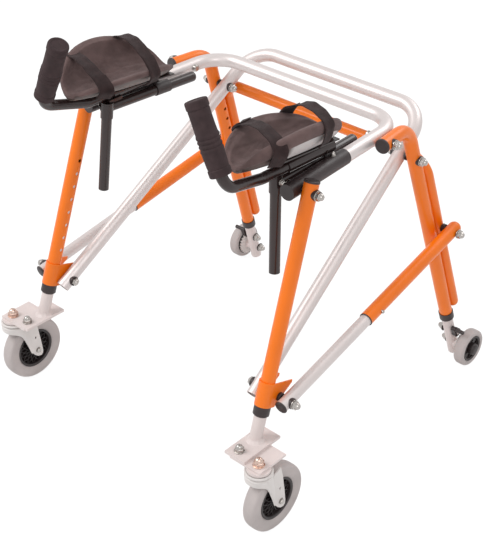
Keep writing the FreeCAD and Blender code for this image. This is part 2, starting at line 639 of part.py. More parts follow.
def front_leg_fittings():
    """Black plastic on the front leg: collar, top cap, pivot washer and bracket bush."""
    cheek = DIAGONAL_LEG_X + FRAME_RADIUS + size.bracket_sheet + LEAN_GAP
    bush_end = cheek + size.brace_boss
    inner_cheek = DIAGONAL_LEG_X - FRAME_RADIUS - size.bracket_sheet
    bush = bar(Vector(inner_cheek, DIAGONAL_LOW.y, DIAGONAL_LOW.z),
               Vector(bush_end, DIAGONAL_LOW.y, DIAGONAL_LOW.z), BOLT_RADIUS)
    bush = bush.fuse(bar(Vector(cheek, DIAGONAL_LOW.y, DIAGONAL_LOW.z),
                         Vector(bush_end, DIAGONAL_LOW.y, DIAGONAL_LOW.z), size.bolt_diameter))
    shapes = [
        leg_collar(LEG_FOOT, LEG_UP),
        end_cap(along(LEG_FOOT, LEG_UP, LEG_LENGTH), LEG_UP, FRAME_RADIUS, BORE_RADIUS),
        saddle(LEG_PIVOT, 1, LEG_UP, FRAME_RADIUS),
        bush.removeSplitter(),
    ]
    pair("front_leg_fittings", feature("front_leg_fittings", Part.makeCompound(shapes)))


# ---------------------------------------------------------------------------
# Front stems and casters
# ---------------------------------------------------------------------------
def front_stem():
    """Grey tube that slides in the front leg, welded to its foot plate."""
    below = (LEG_FOOT - STEM_FOOT).Length
    tube = cylinder("front_stem_tube", "Sizes.slim_diameter / 2", size.stem_insert + below,
                    facing(STEM_FOOT, LEG_UP))
    inside = cylinder("front_stem_inside", "Sizes.slim_diameter / 2 - Sizes.frame_wall",
                      size.stem_insert + below, facing(STEM_FOOT, LEG_UP))
    plate = doc.addObject("Part::Box", "foot_plate")
    centre = STEM_FOOT + Vector(size.pad_plate_outset, -size.pad_plate_lead, 0)
    corner = centre - Vector(size.pad_plate_width / 2, size.pad_plate_length / 2,
                             size.pad_plate_thickness)
    bind(plate, Length="Sizes.pad_plate_width", Width="Sizes.pad_plate_length",
         Height="Sizes.pad_plate_thickness", Placement=Placement(corner, Rotation()))
    hollow = cut("front_stem_hollow", tube, inside)
    blank = fuse("front_stem_blank", hollow, plate)
    hole = cylinder("foot_plate_hole", BOLT_HOLE, 40.0,
                    Placement(PLATE_BOLT - Z_AXIS * 20, Rotation()))
    pair("front_stem", cut("front_stem", blank, hole))


PLATE_BOLT = STEM_FOOT + Vector(0, size.caster_y - STEM_FOOT.y - MIDDLE, 0)
CASTER_TOP = size.pad_plate_level - size.pad_plate_thickness
RACE_TOP = CASTER_TOP - size.caster_plate_thickness
SWIVEL = at(out_by(size.caster_outset), size.caster_y, 0)
CASTER_AXLE = at(SWIVEL.x, CASTER_AXLE_Y, size.caster_radius)


def caster_plate():
    """Square plate under the foot plate with the fixed upper race below it."""
    body = doc.addObject("PartDesign::Body", "caster_plate")
    low = "-Sizes.caster_plate_size + Sizes.caster_edge"
    high = "Sizes.caster_edge"
    sketch = outline(body, "caster_plate_outline", "XY_Plane", [
        (low, "-Sizes.caster_edge"), (high, "-Sizes.caster_edge"),
        (high, "Sizes.caster_plate_size - Sizes.caster_edge"),
        (low, "Sizes.caster_plate_size - Sizes.caster_edge")])
    pad = body.newObject("PartDesign::Pad", "caster_plate_pad")
    bind(pad, Profile=sketch, Length="Sizes.caster_plate_thickness")
    race = body.newObject("PartDesign::Pad", "upper_race")
    bind(race, Profile=circle_sketch(body, "upper_race_outline", "XY_Plane",
                                     "Sizes.race_diameter / 2 - 2", ("0", "0")),
         Length="Sizes.race_height", Reversed=True)
    drill_through(body, "kingpin_hole", "XY_Plane", "Sizes.bolt_diameter / 2", ("0", "0"))
    drill_through(body, "plate_bolt_hole", "XY_Plane", "Sizes.bolt_diameter / 2",
                  (str(round(PLATE_BOLT.x - SWIVEL.x, 3)), "0"))
    body.Placement = Placement(Vector(SWIVEL.x, SWIVEL.y, RACE_TOP), Rotation())
    pair("caster_plate", body)


def caster_bolts():
    """Plate bolt with its nut, and the kingpin that the fork turns on."""
    def upright(point, low, high):
        shank = bar(Vector(point.x, point.y, low), Vector(point.x, point.y, high), BOLT_RADIUS)
        return shank.fuse(acorn_nut(Vector(point.x, point.y, high), Z_AXIS))
    plate_bolt = upright(PLATE_BOLT, RACE_TOP, size.pad_plate_level)
    plate_bolt = plate_bolt.fuse(domed_head(Vector(PLATE_BOLT.x, PLATE_BOLT.y, RACE_TOP), -Z_AXIS))
    kingpin = upright(SWIVEL, CROWN_BASE - 3, CASTER_TOP)
    shapes = [plate_bolt.removeSplitter(), kingpin.removeSplitter()]
    pair("caster_bolts", feature("caster_bolts", Part.makeCompound(shapes)))


CROWN_TOP = RACE_TOP - size.race_height - size.clearance
CROWN_BASE = CROWN_TOP - size.crown_height


def fork_leg(inner_x):
    """Tapered sheet leg from the crown to the axle, drilled near its middle."""
    top_front = Vector(inner_x, SWIVEL.y - size.fork_width * 0.4, CROWN_BASE)
    top_back = Vector(inner_x, SWIVEL.y + size.fork_width * 0.6, CROWN_BASE)
    eye = Vector(inner_x, CASTER_AXLE.y, CASTER_AXLE.z)
    radius = size.fork_end_radius
    low_front = eye + Vector(0, -radius * 0.85, -radius * 0.53)
    low_back = eye + Vector(0, radius, 0)
    low_mid = eye + Vector(0, radius * 0.45, -radius * 0.9)
    outline_points = [top_front, top_back, low_back, low_mid, low_front, top_front]
    return Part.Face(Part.makePolygon(outline_points)).extrude(X_AXIS * size.fork_sheet)


def caster_fork():
    """Turning race, crown sheet and two legs, with the axle bolt between them."""
    race = Part.makeCylinder(size.race_diameter / 2, size.crown_height,
                             Vector(SWIVEL.x, SWIVEL.y, CROWN_BASE))
    race = race.makeFillet(3, [race.Edges[0]])
    half = size.fork_inside / 2
    crown = Part.makeBox(2 * (half + size.fork_sheet), size.fork_width, size.fork_sheet,
                         Vector(SWIVEL.x - half - size.fork_sheet,
                                SWIVEL.y - size.fork_width * 0.4, CROWN_BASE))
    legs = [fork_leg(SWIVEL.x + half), fork_leg(SWIVEL.x - half - size.fork_sheet)]
    fork = race.fuse([crown] + legs)
    fork = fork.cut(bar(SWIVEL, SWIVEL + Z_AXIS * size.bar_level, BOLT_HOLE))
    small_hole = CASTER_AXLE + Vector(0, -4, 26)
    fork = fork.cut(cross_hole(CASTER_AXLE, size.axle_diameter / 2, 40))
    fork = fork.cut(cross_hole(small_hole, 2.2, 40)).removeSplitter()
    axle = pivot_bolt(CASTER_AXLE, SWIVEL.x - half - size.fork_sheet,
                      SWIVEL.x + half + size.fork_sheet, domed_head, domed_head)
    pair("caster_fork", feature("caster_fork", Part.makeCompound([fork, axle])))


def wheel_tyre(name, radius, width, rim, placement):
    """Solid tyre with a rounded tread: radius, width and rim name their sizes."""
    half = f"Sizes.{width} / 2"
    corners = [
        (f"Sizes.{rim}", f"-{half} + 3"), (f"Sizes.{rim} + 2", f"-{half}"),
        (f"Sizes.{radius} - 8", f"-{half}"), (f"Sizes.{radius} - 3.5", f"-{half} * 0.72"),
        (f"Sizes.{radius} - 0.8", f"-{half} * 0.38"), (f"Sizes.{radius}", "0"),
        (f"Sizes.{radius} - 0.8", f"{half} * 0.38"), (f"Sizes.{radius} - 3.5", f"{half} * 0.72"),
        (f"Sizes.{radius} - 8", half), (f"Sizes.{rim} + 2", half), (f"Sizes.{rim}", f"{half} - 3"),
    ]
    return turned(name, corners, placement)


def caster_wheel():
    """Front wheel: dark hub with a thin web, grey tyre."""
    place = facing(CASTER_AXLE, X_AXIS)
    rim, bore = "Sizes.caster_rim_radius", "Sizes.axle_diameter / 2 + Sizes.sliding_gap"
    web, boss, reach = "Sizes.hub_web / 2", "Sizes.hub_boss_radius", "Sizes.hub_width / 2"
    edge = "Sizes.caster_width / 2 - 3"
    corners = [
        (bore, f"-{reach}"), (boss, f"-{reach}"), (boss, f"-{web}"),
        (f"{rim} - 5", f"-{web}"), (f"{rim} - 3", f"-({edge})"), (rim, f"-({edge})"),
        (rim, edge), (f"{rim} - 3", edge), (f"{rim} - 5", web),
        (boss, web), (boss, reach), (bore, reach),
    ]
    pair("caster_hub", turned("caster_hub", corners, place))
    pair("caster_tyre",
         wheel_tyre("caster_tyre", "caster_radius", "caster_width", "caster_rim_radius", place))


# ---------------------------------------------------------------------------
# Diagonal tube
# ---------------------------------------------------------------------------
def diagonal():
    """Silver U tube from the front brackets up and back round the rear."""
    low = along(DIAGONAL_LOW, DIAGONAL_UP, -size.diagonal_overrun)
    corner = at_station(DIAGONAL_LOW, DIAGONAL_UP, size.diagonal_back)
    points = [low, corner, Vector(-corner.x, corner.y, corner.z), Vector(-low.x, low.y, low.z)]
    tube = bent_tube(points, size.u_bend_radius, FRAME_RADIUS, FRAME_RADIUS - size.frame_wall)
    for pivot in (DIAGONAL_LOW, DIAGONAL_PIVOT):
        tube = tube.cut(cross_hole(pivot, BOLT_HOLE, WHOLE_WIDTH))
    keep("diagonal_tube", feature("diagonal_tube", tube))


def diagonal_bolts():
    """Bolts in the diagonal's lower ends, flush on the side of the leg bracket."""
    inner = DIAGONAL_LOW.x - FRAME_RADIUS - size.saddle_thickness
    outer = DIAGONAL_LOW.x + FRAME_RADIUS - 0.5
    both_sides("diagonal_bolts", [pivot_bolt(DIAGONAL_LOW, inner, outer, acorn_nut, None)])


def diagonal_washers():
    """Curved washers inside the diagonal, at its lower ends and at its rear pivots."""
    both_sides("diagonal_washers", [
        saddle(DIAGONAL_LOW, -1, DIAGONAL_UP, FRAME_RADIUS),
        saddle(DIAGONAL_HIGH, -1, DIAGONAL_UP, FRAME_RADIUS),
    ])


# ---------------------------------------------------------------------------
# Rear frame
# ---------------------------------------------------------------------------
def rear_leg():
    """Orange tube bent forward at its top, with height holes on its inner face."""
    tube = bent_tube([REAR_FOOT, REAR_CORNER, STUB_FRONT], size.rear_bend_radius,
                     FRAME_RADIUS, BORE_RADIUS)
    for pivot in (REAR_PIVOT, DIAGONAL_PIVOT):
        tube = tube.cut(cross_hole(pivot, BOLT_HOLE, 60))
    for step in range(int(size.hole_count)):
        place = along(DIAGONAL_PIVOT, REAR_UP, -(2.7 + step) * size.hole_pitch)
        tube = tube.cut(bar(place, place - X_AXIS * 40, size.hole_diameter / 2))
    pair("rear_leg", feature("rear_leg", tube))


def cross_frame():
    """Orange U tube behind the rear legs, joined to them by four short welded tabs."""
    foot = at_level(CROSS_FOOT, REAR_UP, size.cross_foot_level)
    corner = at_level(CROSS_FOOT, REAR_UP, size.cross_level)
    points = [foot, corner, Vector(-corner.x, corner.y, corner.z), Vector(-foot.x, foot.y, foot.z)]
    path = rounded_path(points, size.cross_bend_radius)
    frame = swept(path, SLIM_RADIUS)
    for end in (points[0], points[-1]):
        frame = frame.fuse(Part.makeSphere(SLIM_RADIUS, end))
    core = rounded_path(points, size.cross_bend_radius)
    frame = frame.cut(swept(core, SLIM_RADIUS - size.frame_wall))
    for level in (size.upper_tab_level, size.lower_tab_level):
        place = at_level(CROSS_FOOT, REAR_UP, level)
        tab = Part.makeBox(5, size.cross_offset, 40, Vector(-2.5, -size.cross_offset, -20))
        tab.Placement = facing(place, REAR_UP, Y_AXIS)
        leg = bar(REAR_FOOT, REAR_CORNER, FRAME_RADIUS)
        inside = bar(foot, corner, SLIM_RADIUS - size.frame_wall)
        tab = tab.cut(leg).cut(inside)
        frame = frame.fuse([tab, tab.mirror(Vector(), X_AXIS)])
    frame = frame.cut(cross_hole(BRACE_HINGE, BOLT_HOLE, WHOLE_WIDTH))
    keep("cross_frame", feature("cross_frame", frame.removeSplitter()))


def rear_fittings():
    """Black plastic on the rear frame: collars, stub caps, pivot washers and spacers."""
    gap = size.clearance
    both_sides("rear_fittings", [
        leg_collar(REAR_FOOT, REAR_UP),
        end_cap(STUB_FRONT, -STUB_BACKWARD, FRAME_RADIUS, BORE_RADIUS),
        saddle(REAR_PIVOT, 1, STUB_BACKWARD, FRAME_RADIUS),
        saddle(DIAGONAL_PIVOT, 1, REAR_UP, FRAME_RADIUS),
        spacer(DIAGONAL_PIVOT, DIAGONAL_HIGH.x + FRAME_RADIUS + LEAN_GAP + gap,
               DIAGONAL_PIVOT.x - FRAME_RADIUS - LEAN_GAP, size.bolt_diameter),
        spacer(BRACE_HINGE, BRACE_HINGE.x + SLIM_RADIUS + LEAN_GAP,
               BRACE_REAR.x - FRAME_RADIUS - LEAN_GAP, size.bolt_diameter),
    ])


def rear_frame_bolts():
    """Bolts of the diagonal's and the braces' pivots, in the rear frame."""
    gap = size.clearance
    diagonal_inner = DIAGONAL_HIGH.x - FRAME_RADIUS - size.saddle_thickness - gap
    diagonal_outer = DIAGONAL_PIVOT.x + FRAME_RADIUS + size.saddle_thickness
    brace_inner = BRACE_HINGE.x - SLIM_RADIUS
    brace_outer = BRACE_REAR.x + FRAME_RADIUS + size.saddle_thickness
    both_sides("rear_frame_bolts", [
        pivot_bolt(DIAGONAL_PIVOT, diagonal_inner, diagonal_outer, acorn_nut, acorn_nut),
        pivot_bolt(BRACE_HINGE, brace_inner, brace_outer, domed_head, acorn_nut),
    ])


# ---------------------------------------------------------------------------
# Rear stems, pawls and wheels
# ---------------------------------------------------------------------------
def rear_stem():
    """Grey tube that slides in the rear leg, with its wheel axle and its pawl bolt."""
    top = along(REAR_FOOT, REAR_UP, size.rear_stem_insert)
    tube = bar(REAR_STEM_FOOT, top, SLIM_RADIUS)
    tube = tube.cut(bar(along(REAR_STEM_FOOT, REAR_UP, 3), top, SLIM_RADIUS - size.frame_wall))
    wheel_face = AXLE_CENTRE.x - size.rear_wheel_width / 2 - size.clearance
    boss = bar(STEM_AT_AXLE, Vector(wheel_face, STEM_AT_AXLE.y, STEM_AT_AXLE.z), 9)
    boss = boss.cut(bar(REAR_STEM_FOOT, top, SLIM_RADIUS - 0.2))
    tube = tube.fuse(boss)
    axle_line = Vector(STEM_AT_AXLE.x, AXLE_CENTRE.y, AXLE_CENTRE.z)
    for point in (axle_line, STEM_AT_PAWL):
        tube = tube.cut(cross_hole(point, BOLT_RADIUS, 60))
    axle = pivot_bolt(axle_line, STEM_AT_AXLE.x - SLIM_RADIUS,
                      AXLE_CENTRE.x + size.rear_wheel_width / 2, domed_head, None)
    pawl_bolt = pivot_bolt(STEM_AT_PAWL, STEM_AT_PAWL.x - SLIM_RADIUS,
                           STEM_AT_PAWL.x + SLIM_RADIUS + size.pawl_thickness + 2, domed_head, None)
    shapes = [tube.removeSplitter(), axle, pawl_bolt]
    pair("rear_stem", feature("rear_stem", Part.makeCompound(shapes)))


def rear_pawl():
    """Black lever on the stem's outer side whose finger can drop onto the tread."""
    near = STEM_AT_PAWL.x + SLIM_RADIUS + LEAN_GAP + size.clearance
    angle = math.radians(size.pawl_rise)
    hub = Vector(near, STEM_AT_PAWL.y, STEM_AT_PAWL.z)
    tip = hub + Vector(0, math.cos(angle), math.sin(angle)) * size.pawl_length
    lever = bar(hub, hub + X_AXIS * size.pawl_thickness, 9)
    lever = lever.fuse(bar(tip, tip + X_AXIS * size.pawl_thickness, 5))
    side = Vector(0, -math.sin(angle), math.cos(angle))
    arm = [hub + side * 8, tip + side * 5, tip - side * 5, hub - side * 8, hub + side * 8]
    lever = lever.fuse(Part.Face(Part.makePolygon(arm)).extrude(X_AXIS * size.pawl_thickness))
    lever = lever.fuse(bar(tip, Vector(AXLE_CENTRE.x, tip.y, tip.z), 4))
    lever = lever.cut(cross_hole(STEM_AT_PAWL, BOLT_HOLE, 60))
    pair("rear_pawl", feature("rear_pawl", lever.removeSplitter()))


def rear_wheel():
    """Rear wheel: black hub with round holes and a centre boss, grey tyre."""
    place = facing(AXLE_CENTRE, X_AXIS)
    half, rim = "Sizes.rear_wheel_width / 2", "Sizes.rear_rim_radius"
    bore = "Sizes.axle_diameter / 2 + Sizes.sliding_gap"
    corners = [
        (bore, f"-{half}"), ("10", f"-{half}"), ("10", "-4"), (f"{rim} - 4", "-4"),
        (f"{rim} - 2", f"-{half} + 3"), (rim, f"-{half} + 3"), (rim, f"{half} - 3"),
        (f"{rim} - 2", f"{half} - 3"), (f"{rim} - 4", "4"), ("13", "5"),
        ("10", f"{half} + Sizes.rear_boss_reach - 3"), ("7", f"{half} + Sizes.rear_boss_reach"),
        (bore, f"{half} + Sizes.rear_boss_reach"),
    ]
    hub = turned("rear_hub", corners, place)
    hole = drill_through(hub, "rear_hub_hole", "XY_Plane", "Sizes.rear_hole_diameter / 2",
                         ("Sizes.rear_rim_radius * 0.66", "0"))
    ring_of(hub, hole, 6, "rear_hub_holes")
    pair("rear_hub", hub)
    pair("rear_tyre",
         wheel_tyre("rear_tyre", "rear_wheel_radius", "rear_wheel_width", "rear_rim_radius", place))


# ---------------------------------------------------------------------------
# Folding braces
# ---------------------------------------------------------------------------
def brace_outer():
    """Orange outer tube of the brace, rounded past its pivot, open to the front."""
    closed_end = along(BRACE_REAR, BRACE_FORWARD, FRAME_RADIUS - size.brace_sleeve_overrun)
    mouth = along(BRACE_REAR, BRACE_FORWARD, size.brace_sleeve_length)
    tube = bar(closed_end, mouth, FRAME_RADIUS).fuse(Part.makeSphere(FRAME_RADIUS, closed_end))
    tube = tube.cut(bar(closed_end, mouth, BORE_RADIUS))
    tube = tube.cut(cross_hole(BRACE_REAR, BOLT_HOLE, 60))
    tube = tube.cut(bar(BUTTON_SEAT, along(BUTTON_SEAT, BUTTON_OUT, 30),
                        size.hole_diameter / 2))
    pair("brace_outer", feature("brace_outer", tube.removeSplitter()))


BUTTON_SEAT = along(BRACE_REAR, BRACE_FORWARD,
                    size.brace_sleeve_length - size.brace_button_setback)
BUTTON_OUT = unit(X_AXIS - BRACE_FORWARD * X_AXIS.dot(BRACE_FORWARD))


def brace_button():
    """Snap button that stands out of the outer tube and locks the brace."""
    radius = "Sizes.hole_diameter / 2 - Sizes.sliding_gap"
    foot = "Sizes.slim_diameter / 2 + Sizes.clearance"
    top = "Sizes.frame_diameter / 2 + Sizes.brace_button_rise"
    corners = [("0", foot), (radius, foot), (radius, f"{top} - 1.5"), ("1.8", top), ("0", top)]
    pair("brace_button", turned("brace_button", corners, facing(BUTTON_SEAT, BUTTON_OUT)))


def brace_inner():
    """Silver inner tube of the brace, bolted to the front bracket."""
    inner_end = along(BRACE_REAR, BRACE_FORWARD, size.brace_sleeve_length - size.brace_overlap)
    front_end = along(BRACE_FRONT, BRACE_FORWARD, size.brace_overrun)
    tube = bar(inner_end, front_end, SLIM_RADIUS)
    tube = tube.cut(bar(inner_end, front_end, SLIM_RADIUS - size.frame_wall))
    tube = tube.cut(cross_hole(BRACE_FRONT, BOLT_HOLE, 60))
    tube = tube.cut(bar(BUTTON_SEAT, along(BUTTON_SEAT, BUTTON_OUT, 30),
                        size.hole_diameter / 2))
    pair("brace_inner", feature("brace_inner", tube))


def brace_end():
    """Black cap and washer with the acorn-nutted bolt at the brace's front end."""
    bolt = pivot_bolt(BRACE_FRONT, BRACE_FRONT.x - SLIM_RADIUS + 0.4,
                      BRACE_FRONT.x + SLIM_RADIUS + size.saddle_thickness, None, acorn_nut)
    front_end = along(BRACE_FRONT, BRACE_FORWARD, size.brace_overrun)
    cap = end_cap(front_end, BRACE_FORWARD, SLIM_RADIUS, SLIM_RADIUS - size.frame_wall)
    washer = saddle(BRACE_FRONT, 1, BRACE_FORWARD, SLIM_RADIUS)
    pair("brace_end", feature("brace_end", Part.makeCompound([bolt, cap, washer])))


# ---------------------------------------------------------------------------
# Forearm platforms
# ---------------------------------------------------------------------------
def support_tube():
    """Black tube that slides in the guide collar and carries the post's collar."""
    tip = along(SUPPORT_REAR, SUPPORT_RUN, -ARM_RADIUS)
    start = along(SUPPORT_POINT, SUPPORT_RUN, 4)
    tube = bar(start, SUPPORT_REAR, ARM_RADIUS)
    tube = tube.makeFillet(ARM_RADIUS * 0.8, [tube.Edges[0]])
    collar_foot = along(POST_JOINT, POST_UP, size.post_clamp_rise - size.post_clamp_length)
    collar_top = along(POST_JOINT, POST_UP, size.post_clamp_rise)
    collar = bar(collar_foot, collar_top, size.clamp_diameter / 2)
    solid = tube.fuse(collar)
    solid = solid.cut(bar(start, tip, ARM_RADIUS - 2))
    solid = solid.cut(bar(along(POST_JOINT, POST_UP, -60), along(POST_JOINT, POST_UP, 60),
                          ARM_RADIUS + size.sliding_gap))
    pair("support_tube", feature("support_tube", solid.removeSplitter()))


def post():
    """Black post that slides up and down in the support tube's collar."""
    length = size.post_drop + size.post_rise
    foot = along(POST_JOINT, POST_UP, -size.post_drop)
    outer = cylinder("post_outer", "Sizes.arm_tube_diameter / 2",
                     "Sizes.post_drop + Sizes.post_rise", facing(foot, POST_UP))
    inner = cylinder("post_inner", "Sizes.arm_tube_diameter / 2 - 2", length - 4,
                     facing(along(foot, POST_UP, 4), POST_UP))
    pair("post", cut("post", outer, inner))


def trough_bottom(station):
    """Lowest point of the trough's shell at a station."""
    rise = (size.trough_middle - station) * math.tan(math.radians(size.trough_pitch))
    return at(in_by(size.trough_inset), station, size.trough_level + rise)


def trough_section(station, inset, thickness):
    """Crescent across the trough: an arc from rim to rim, with a thickness to the inside."""
    share = (station - size.trough_middle) / size.trough_half_length
    spread = math.sqrt(1 - share * share)
    low = trough_bottom(station)
    rims = (Vector(-size.trough_half_width, 0, size.trough_inner_height),
            Vector(size.trough_half_width, 0, size.trough_outer_height))
    inner_rim, outer_rim = [low + rim * spread for rim in rims]
    middle = (inner_rim + outer_rim) / 2
    arc = Part.Arc(inner_rim, low, outer_rim)
    centre = arc.toShape().Curve.Center

    def offset(point, distance):
        return point + unit(centre - point) * distance

    outside = [offset(point, inset) for point in (inner_rim, low, outer_rim)]
    inside = [offset(point, inset + thickness) for point in (inner_rim, low, outer_rim)]
    edges = [
        Part.Arc(*outside).toShape(),
        Part.LineSegment(outside[2], inside[2]).toShape(),
        Part.Arc(inside[2], inside[1], inside[0]).toShape(),
        Part.LineSegment(inside[0], outside[0]).toShape(),
    ]
    return Part.Wire(edges)


def trough_layer(inset, thickness, ends):
    """Layer of the trough lofted along its length; ends is the share of it that is used."""
    shares = [ends * math.sin(math.pi / 2 * step / 4) for step in range(-4, 5)]
    stations = [size.trough_middle + size.trough_half_length * share for share in shares]
    sections = [trough_section(station, inset, thickness) for station in stations]
    return Part.makeLoft(sections, True, False)


def trough():
    """Grey shell under the forearm."""
    pair("trough", feature("trough", trough_layer(0, size.trough_shell, 0.965)))


def trough_pad():
    """Dark lining of the trough."""
    pad = trough_layer(size.trough_shell + size.clearance, size.trough_padding, 0.94)
    pair("trough_pad", feature("trough_pad", pad))


def band(inner_points, centre, thickness):
    """Face between an arc and the same arc set out from a centre."""
    outer_points = [point + unit(point - centre) * thickness for point in inner_points]
    edges = [
        Part.Arc(*inner_points).toShape(),
        Part.LineSegment(inner_points[2], outer_points[2]).toShape(),
        Part.Arc(*reversed(outer_points)).toShape(),
        Part.LineSegment(outer_points[0], inner_points[0]).toShape(),
    ]
    return Part.Face(Part.Wire(edges))


def strap(station, rise):
    """Band from the trough's inner rim over to its outer rim and down its outer wall."""
    widest = station + math.copysign(size.strap_width / 2, size.trough_middle - station)
    low = trough_bottom(widest)
    share = (widest - size.trough_middle) / size.trough_half_length
    spread = math.sqrt(1 - share * share)
    inner_rim = low + Vector(-size.trough_half_width, 0, size.trough_inner_height) * spread
    outer_rim = low + Vector(size.trough_half_width, 0, size.trough_outer_height) * spread
    wall = Part.Arc(inner_rim, low, outer_rim).toShape().Curve
    radius = wall.Radius + size.strap_gap
    outward = unit(outer_rim - wall.Center)
    inward = unit(inner_rim - wall.Center)

    def tail(rim, length):
        """Three points down the wall from a rim."""
        downward = low - wall.Center
        downward = unit(downward - rim * rim.dot(downward))
        turn = length / radius
        return [wall.Center + (rim * math.cos(angle) + downward * math.sin(angle)) * radius
                for angle in (-0.04, turn / 2, turn)]

    over = [wall.Center + inward * radius, low + Vector(0, 0, rise), wall.Center + outward * radius]
    arch_centre = Part.Arc(*over).toShape().Curve.Center
    faces = [band(over, arch_centre, size.strap_thickness),
             band(tail(outward, size.strap_tail), wall.Center, size.strap_thickness),
             band(tail(inward, size.strap_inner_tail), wall.Center, size.strap_thickness)]
    width = Y_AXIS * size.strap_width
    solid = faces[0].extrude(width).fuse([face.extrude(width) for face in faces[1:]])
    solid = solid.removeSplitter()
    solid.translate(Y_AXIS * (station - widest - size.strap_width / 2))
    return solid


def straps():
    """Two hook-and-loop straps over each forearm."""
    shapes = [strap(size.front_strap_y, size.front_strap_rise),
              strap(size.rear_strap_y, size.rear_strap_rise)]
    pair("straps", feature("straps", Part.makeCompound(shapes)))


def trough_plate():
    """Flat plate just under the trough's lowest line."""
    front = trough_bottom(size.plate_front) - Vector(0, 0, size.plate_thickness + size.clearance)
    rear = trough_bottom(size.plate_front + size.plate_length)
    rear = rear - Vector(0, 0, size.plate_thickness + size.clearance)
    half = X_AXIS * (size.plate_width / 2)
    rim = [front - half, front + half, rear + half, rear - half, front - half]
    return Part.Face(Part.makePolygon(rim)).extrude(Z_AXIS * size.plate_thickness)


def trough_ridge(radius):
    """Upright web between the sleeve and the plate."""
    lift = Vector(0, 0, radius - 4)
    front = along(CARRIER_FRONT, CARRIER_RUN, 8) + lift
    rear = along(CARRIER_FRONT, CARRIER_RUN, size.carrier_length - 8) + lift
    seat_front = Vector(front.x, front.y, trough_bottom(front.y + MIDDLE).z - 1)
    seat_rear = Vector(rear.x, rear.y, trough_bottom(rear.y + MIDDLE).z - 1)
    web = Part.Face(Part.makePolygon([front, rear, seat_rear, seat_front, front]))
    web = web.extrude(X_AXIS * 8)
    web.translate(X_AXIS * -4)
    return web


def carrier():
    """Black sleeve and plate under the trough, with a socket on the post's top."""
    radius = size.carrier_diameter / 2
    rear = along(CARRIER_FRONT, CARRIER_RUN, size.carrier_length)
    sleeve = bar(CARRIER_FRONT, rear, radius)
    head = along(POST_JOINT, POST_UP, size.post_clamp_rise + size.clearance)
    top = along(POST_JOINT, POST_UP, size.post_rise)
    socket = bar(head, top, size.clamp_diameter / 2)
    shelf_foot = Vector(top.x - radius + 5, top.y, head.z + 1)
    shelf = Part.makeBox(2 * radius - 6, 30, CARRIER_FRONT.z - 6 - shelf_foot.z, shelf_foot)
    solid = sleeve.fuse([socket, shelf, trough_plate(), trough_ridge(radius)])
    solid = solid.cut(bar(along(CARRIER_FRONT, CARRIER_RUN, -60), along(rear, CARRIER_RUN, 60),
                          size.handle_diameter / 2 + size.sliding_gap))
    solid = solid.cut(bar(POST_JOINT, top, ARM_RADIUS + size.sliding_gap))
    pair("carrier", feature("carrier", solid.removeSplitter()))


def handle():
    """Black tube from the carrier's sleeve forward and up to the grip."""
    start = along(CARRIER_FRONT, CARRIER_RUN, size.handle_insert)
    knee = along(CARRIER_FRONT, CARRIER_RUN, -size.handle_lead)
    elbow = GRIP_BASE - GRIP_UP * size.handle_elbow_drop
    top = along(GRIP_BASE, GRIP_UP, size.grip_length - 6)
    path = rounded_path([start, knee, elbow, top], size.handle_bend_radius)
    tube = swept(path, size.handle_diameter / 2)
    pair("handle", feature("handle", tube.cut(swept(path, size.handle_diameter / 2 - size.frame_wall))))


def grip():
    """Ribbed foam grip on the handle tube."""
    bore = "Sizes.handle_diameter / 2 + 0.1"
    body, flange = "Sizes.grip_diameter / 2", "Sizes.grip_flange_diameter / 2"
    end = "Sizes.grip_length"
    corners = [
        (bore, "0"), (f"{flange} - 1.5", "0"), (flange, "1.5"), (flange, "12"), (body, "14"),
        (body, f"{end} - 26"), (flange, f"{end} - 24"), (flange, f"{end} - 3"),
        (f"{flange} - 4", end), ("0", end), ("0", f"{end} - 5.5"), (bore, f"{end} - 5.5"),
    ]
    pair("grip", turned("grip", corners, facing(GRIP_BASE, GRIP_UP)))


# ---------------------------------------------------------------------------
# Build, check and write
# ---------------------------------------------------------------------------
BUILDERS = (
    hand_rail, arm_bracket, rail_bolts, front_leg, front_leg_fittings, front_stem, caster_plate,
    caster_bolts, caster_fork, caster_wheel, diagonal, diagonal_bolts, diagonal_washers, rear_leg,
    cross_frame, rear_fittings, rear_frame_bolts, rear_stem, rear_pawl, rear_wheel, brace_outer,
    brace_button, brace_inner, brace_end, support_tube, post, trough, trough_pad, straps, carrier,
    handle, grip,
)
for build in BUILDERS:
    build()
doc.recompute()

for thing in doc.Objects:
    if "Invalid" in thing.State or "Error" in thing.State:
        raise RuntimeError(f"{thing.Label} failed: {thing.State}")
for label, thing in pieces.items():
    if thing.Shape.isNull() or not thing.Shape.isValid() or not thing.Shape.Solids:
        raise RuntimeError(f"{label} has no valid shape")
for label, thing in pieces.items():
    thing.Shape.exportStep(f"parts/{label}.step")
    box = thing.Shape.BoundBox
    print(f"{label:26s} solids {len(thing.Shape.Solids)} volume {thing.Shape.Volume / 1000:9.2f} cm3",
          f"y {box.YMin:8.1f} {box.YMax:8.1f} z {box.ZMin:7.1f} {box.ZMax:7.1f}")
print(len(pieces), "pieces")
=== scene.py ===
"""Looks of the folding reverse walker with forearm platforms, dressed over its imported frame."""

import json
import math

import bmesh
import bpy
from mathutils import Matrix, Vector


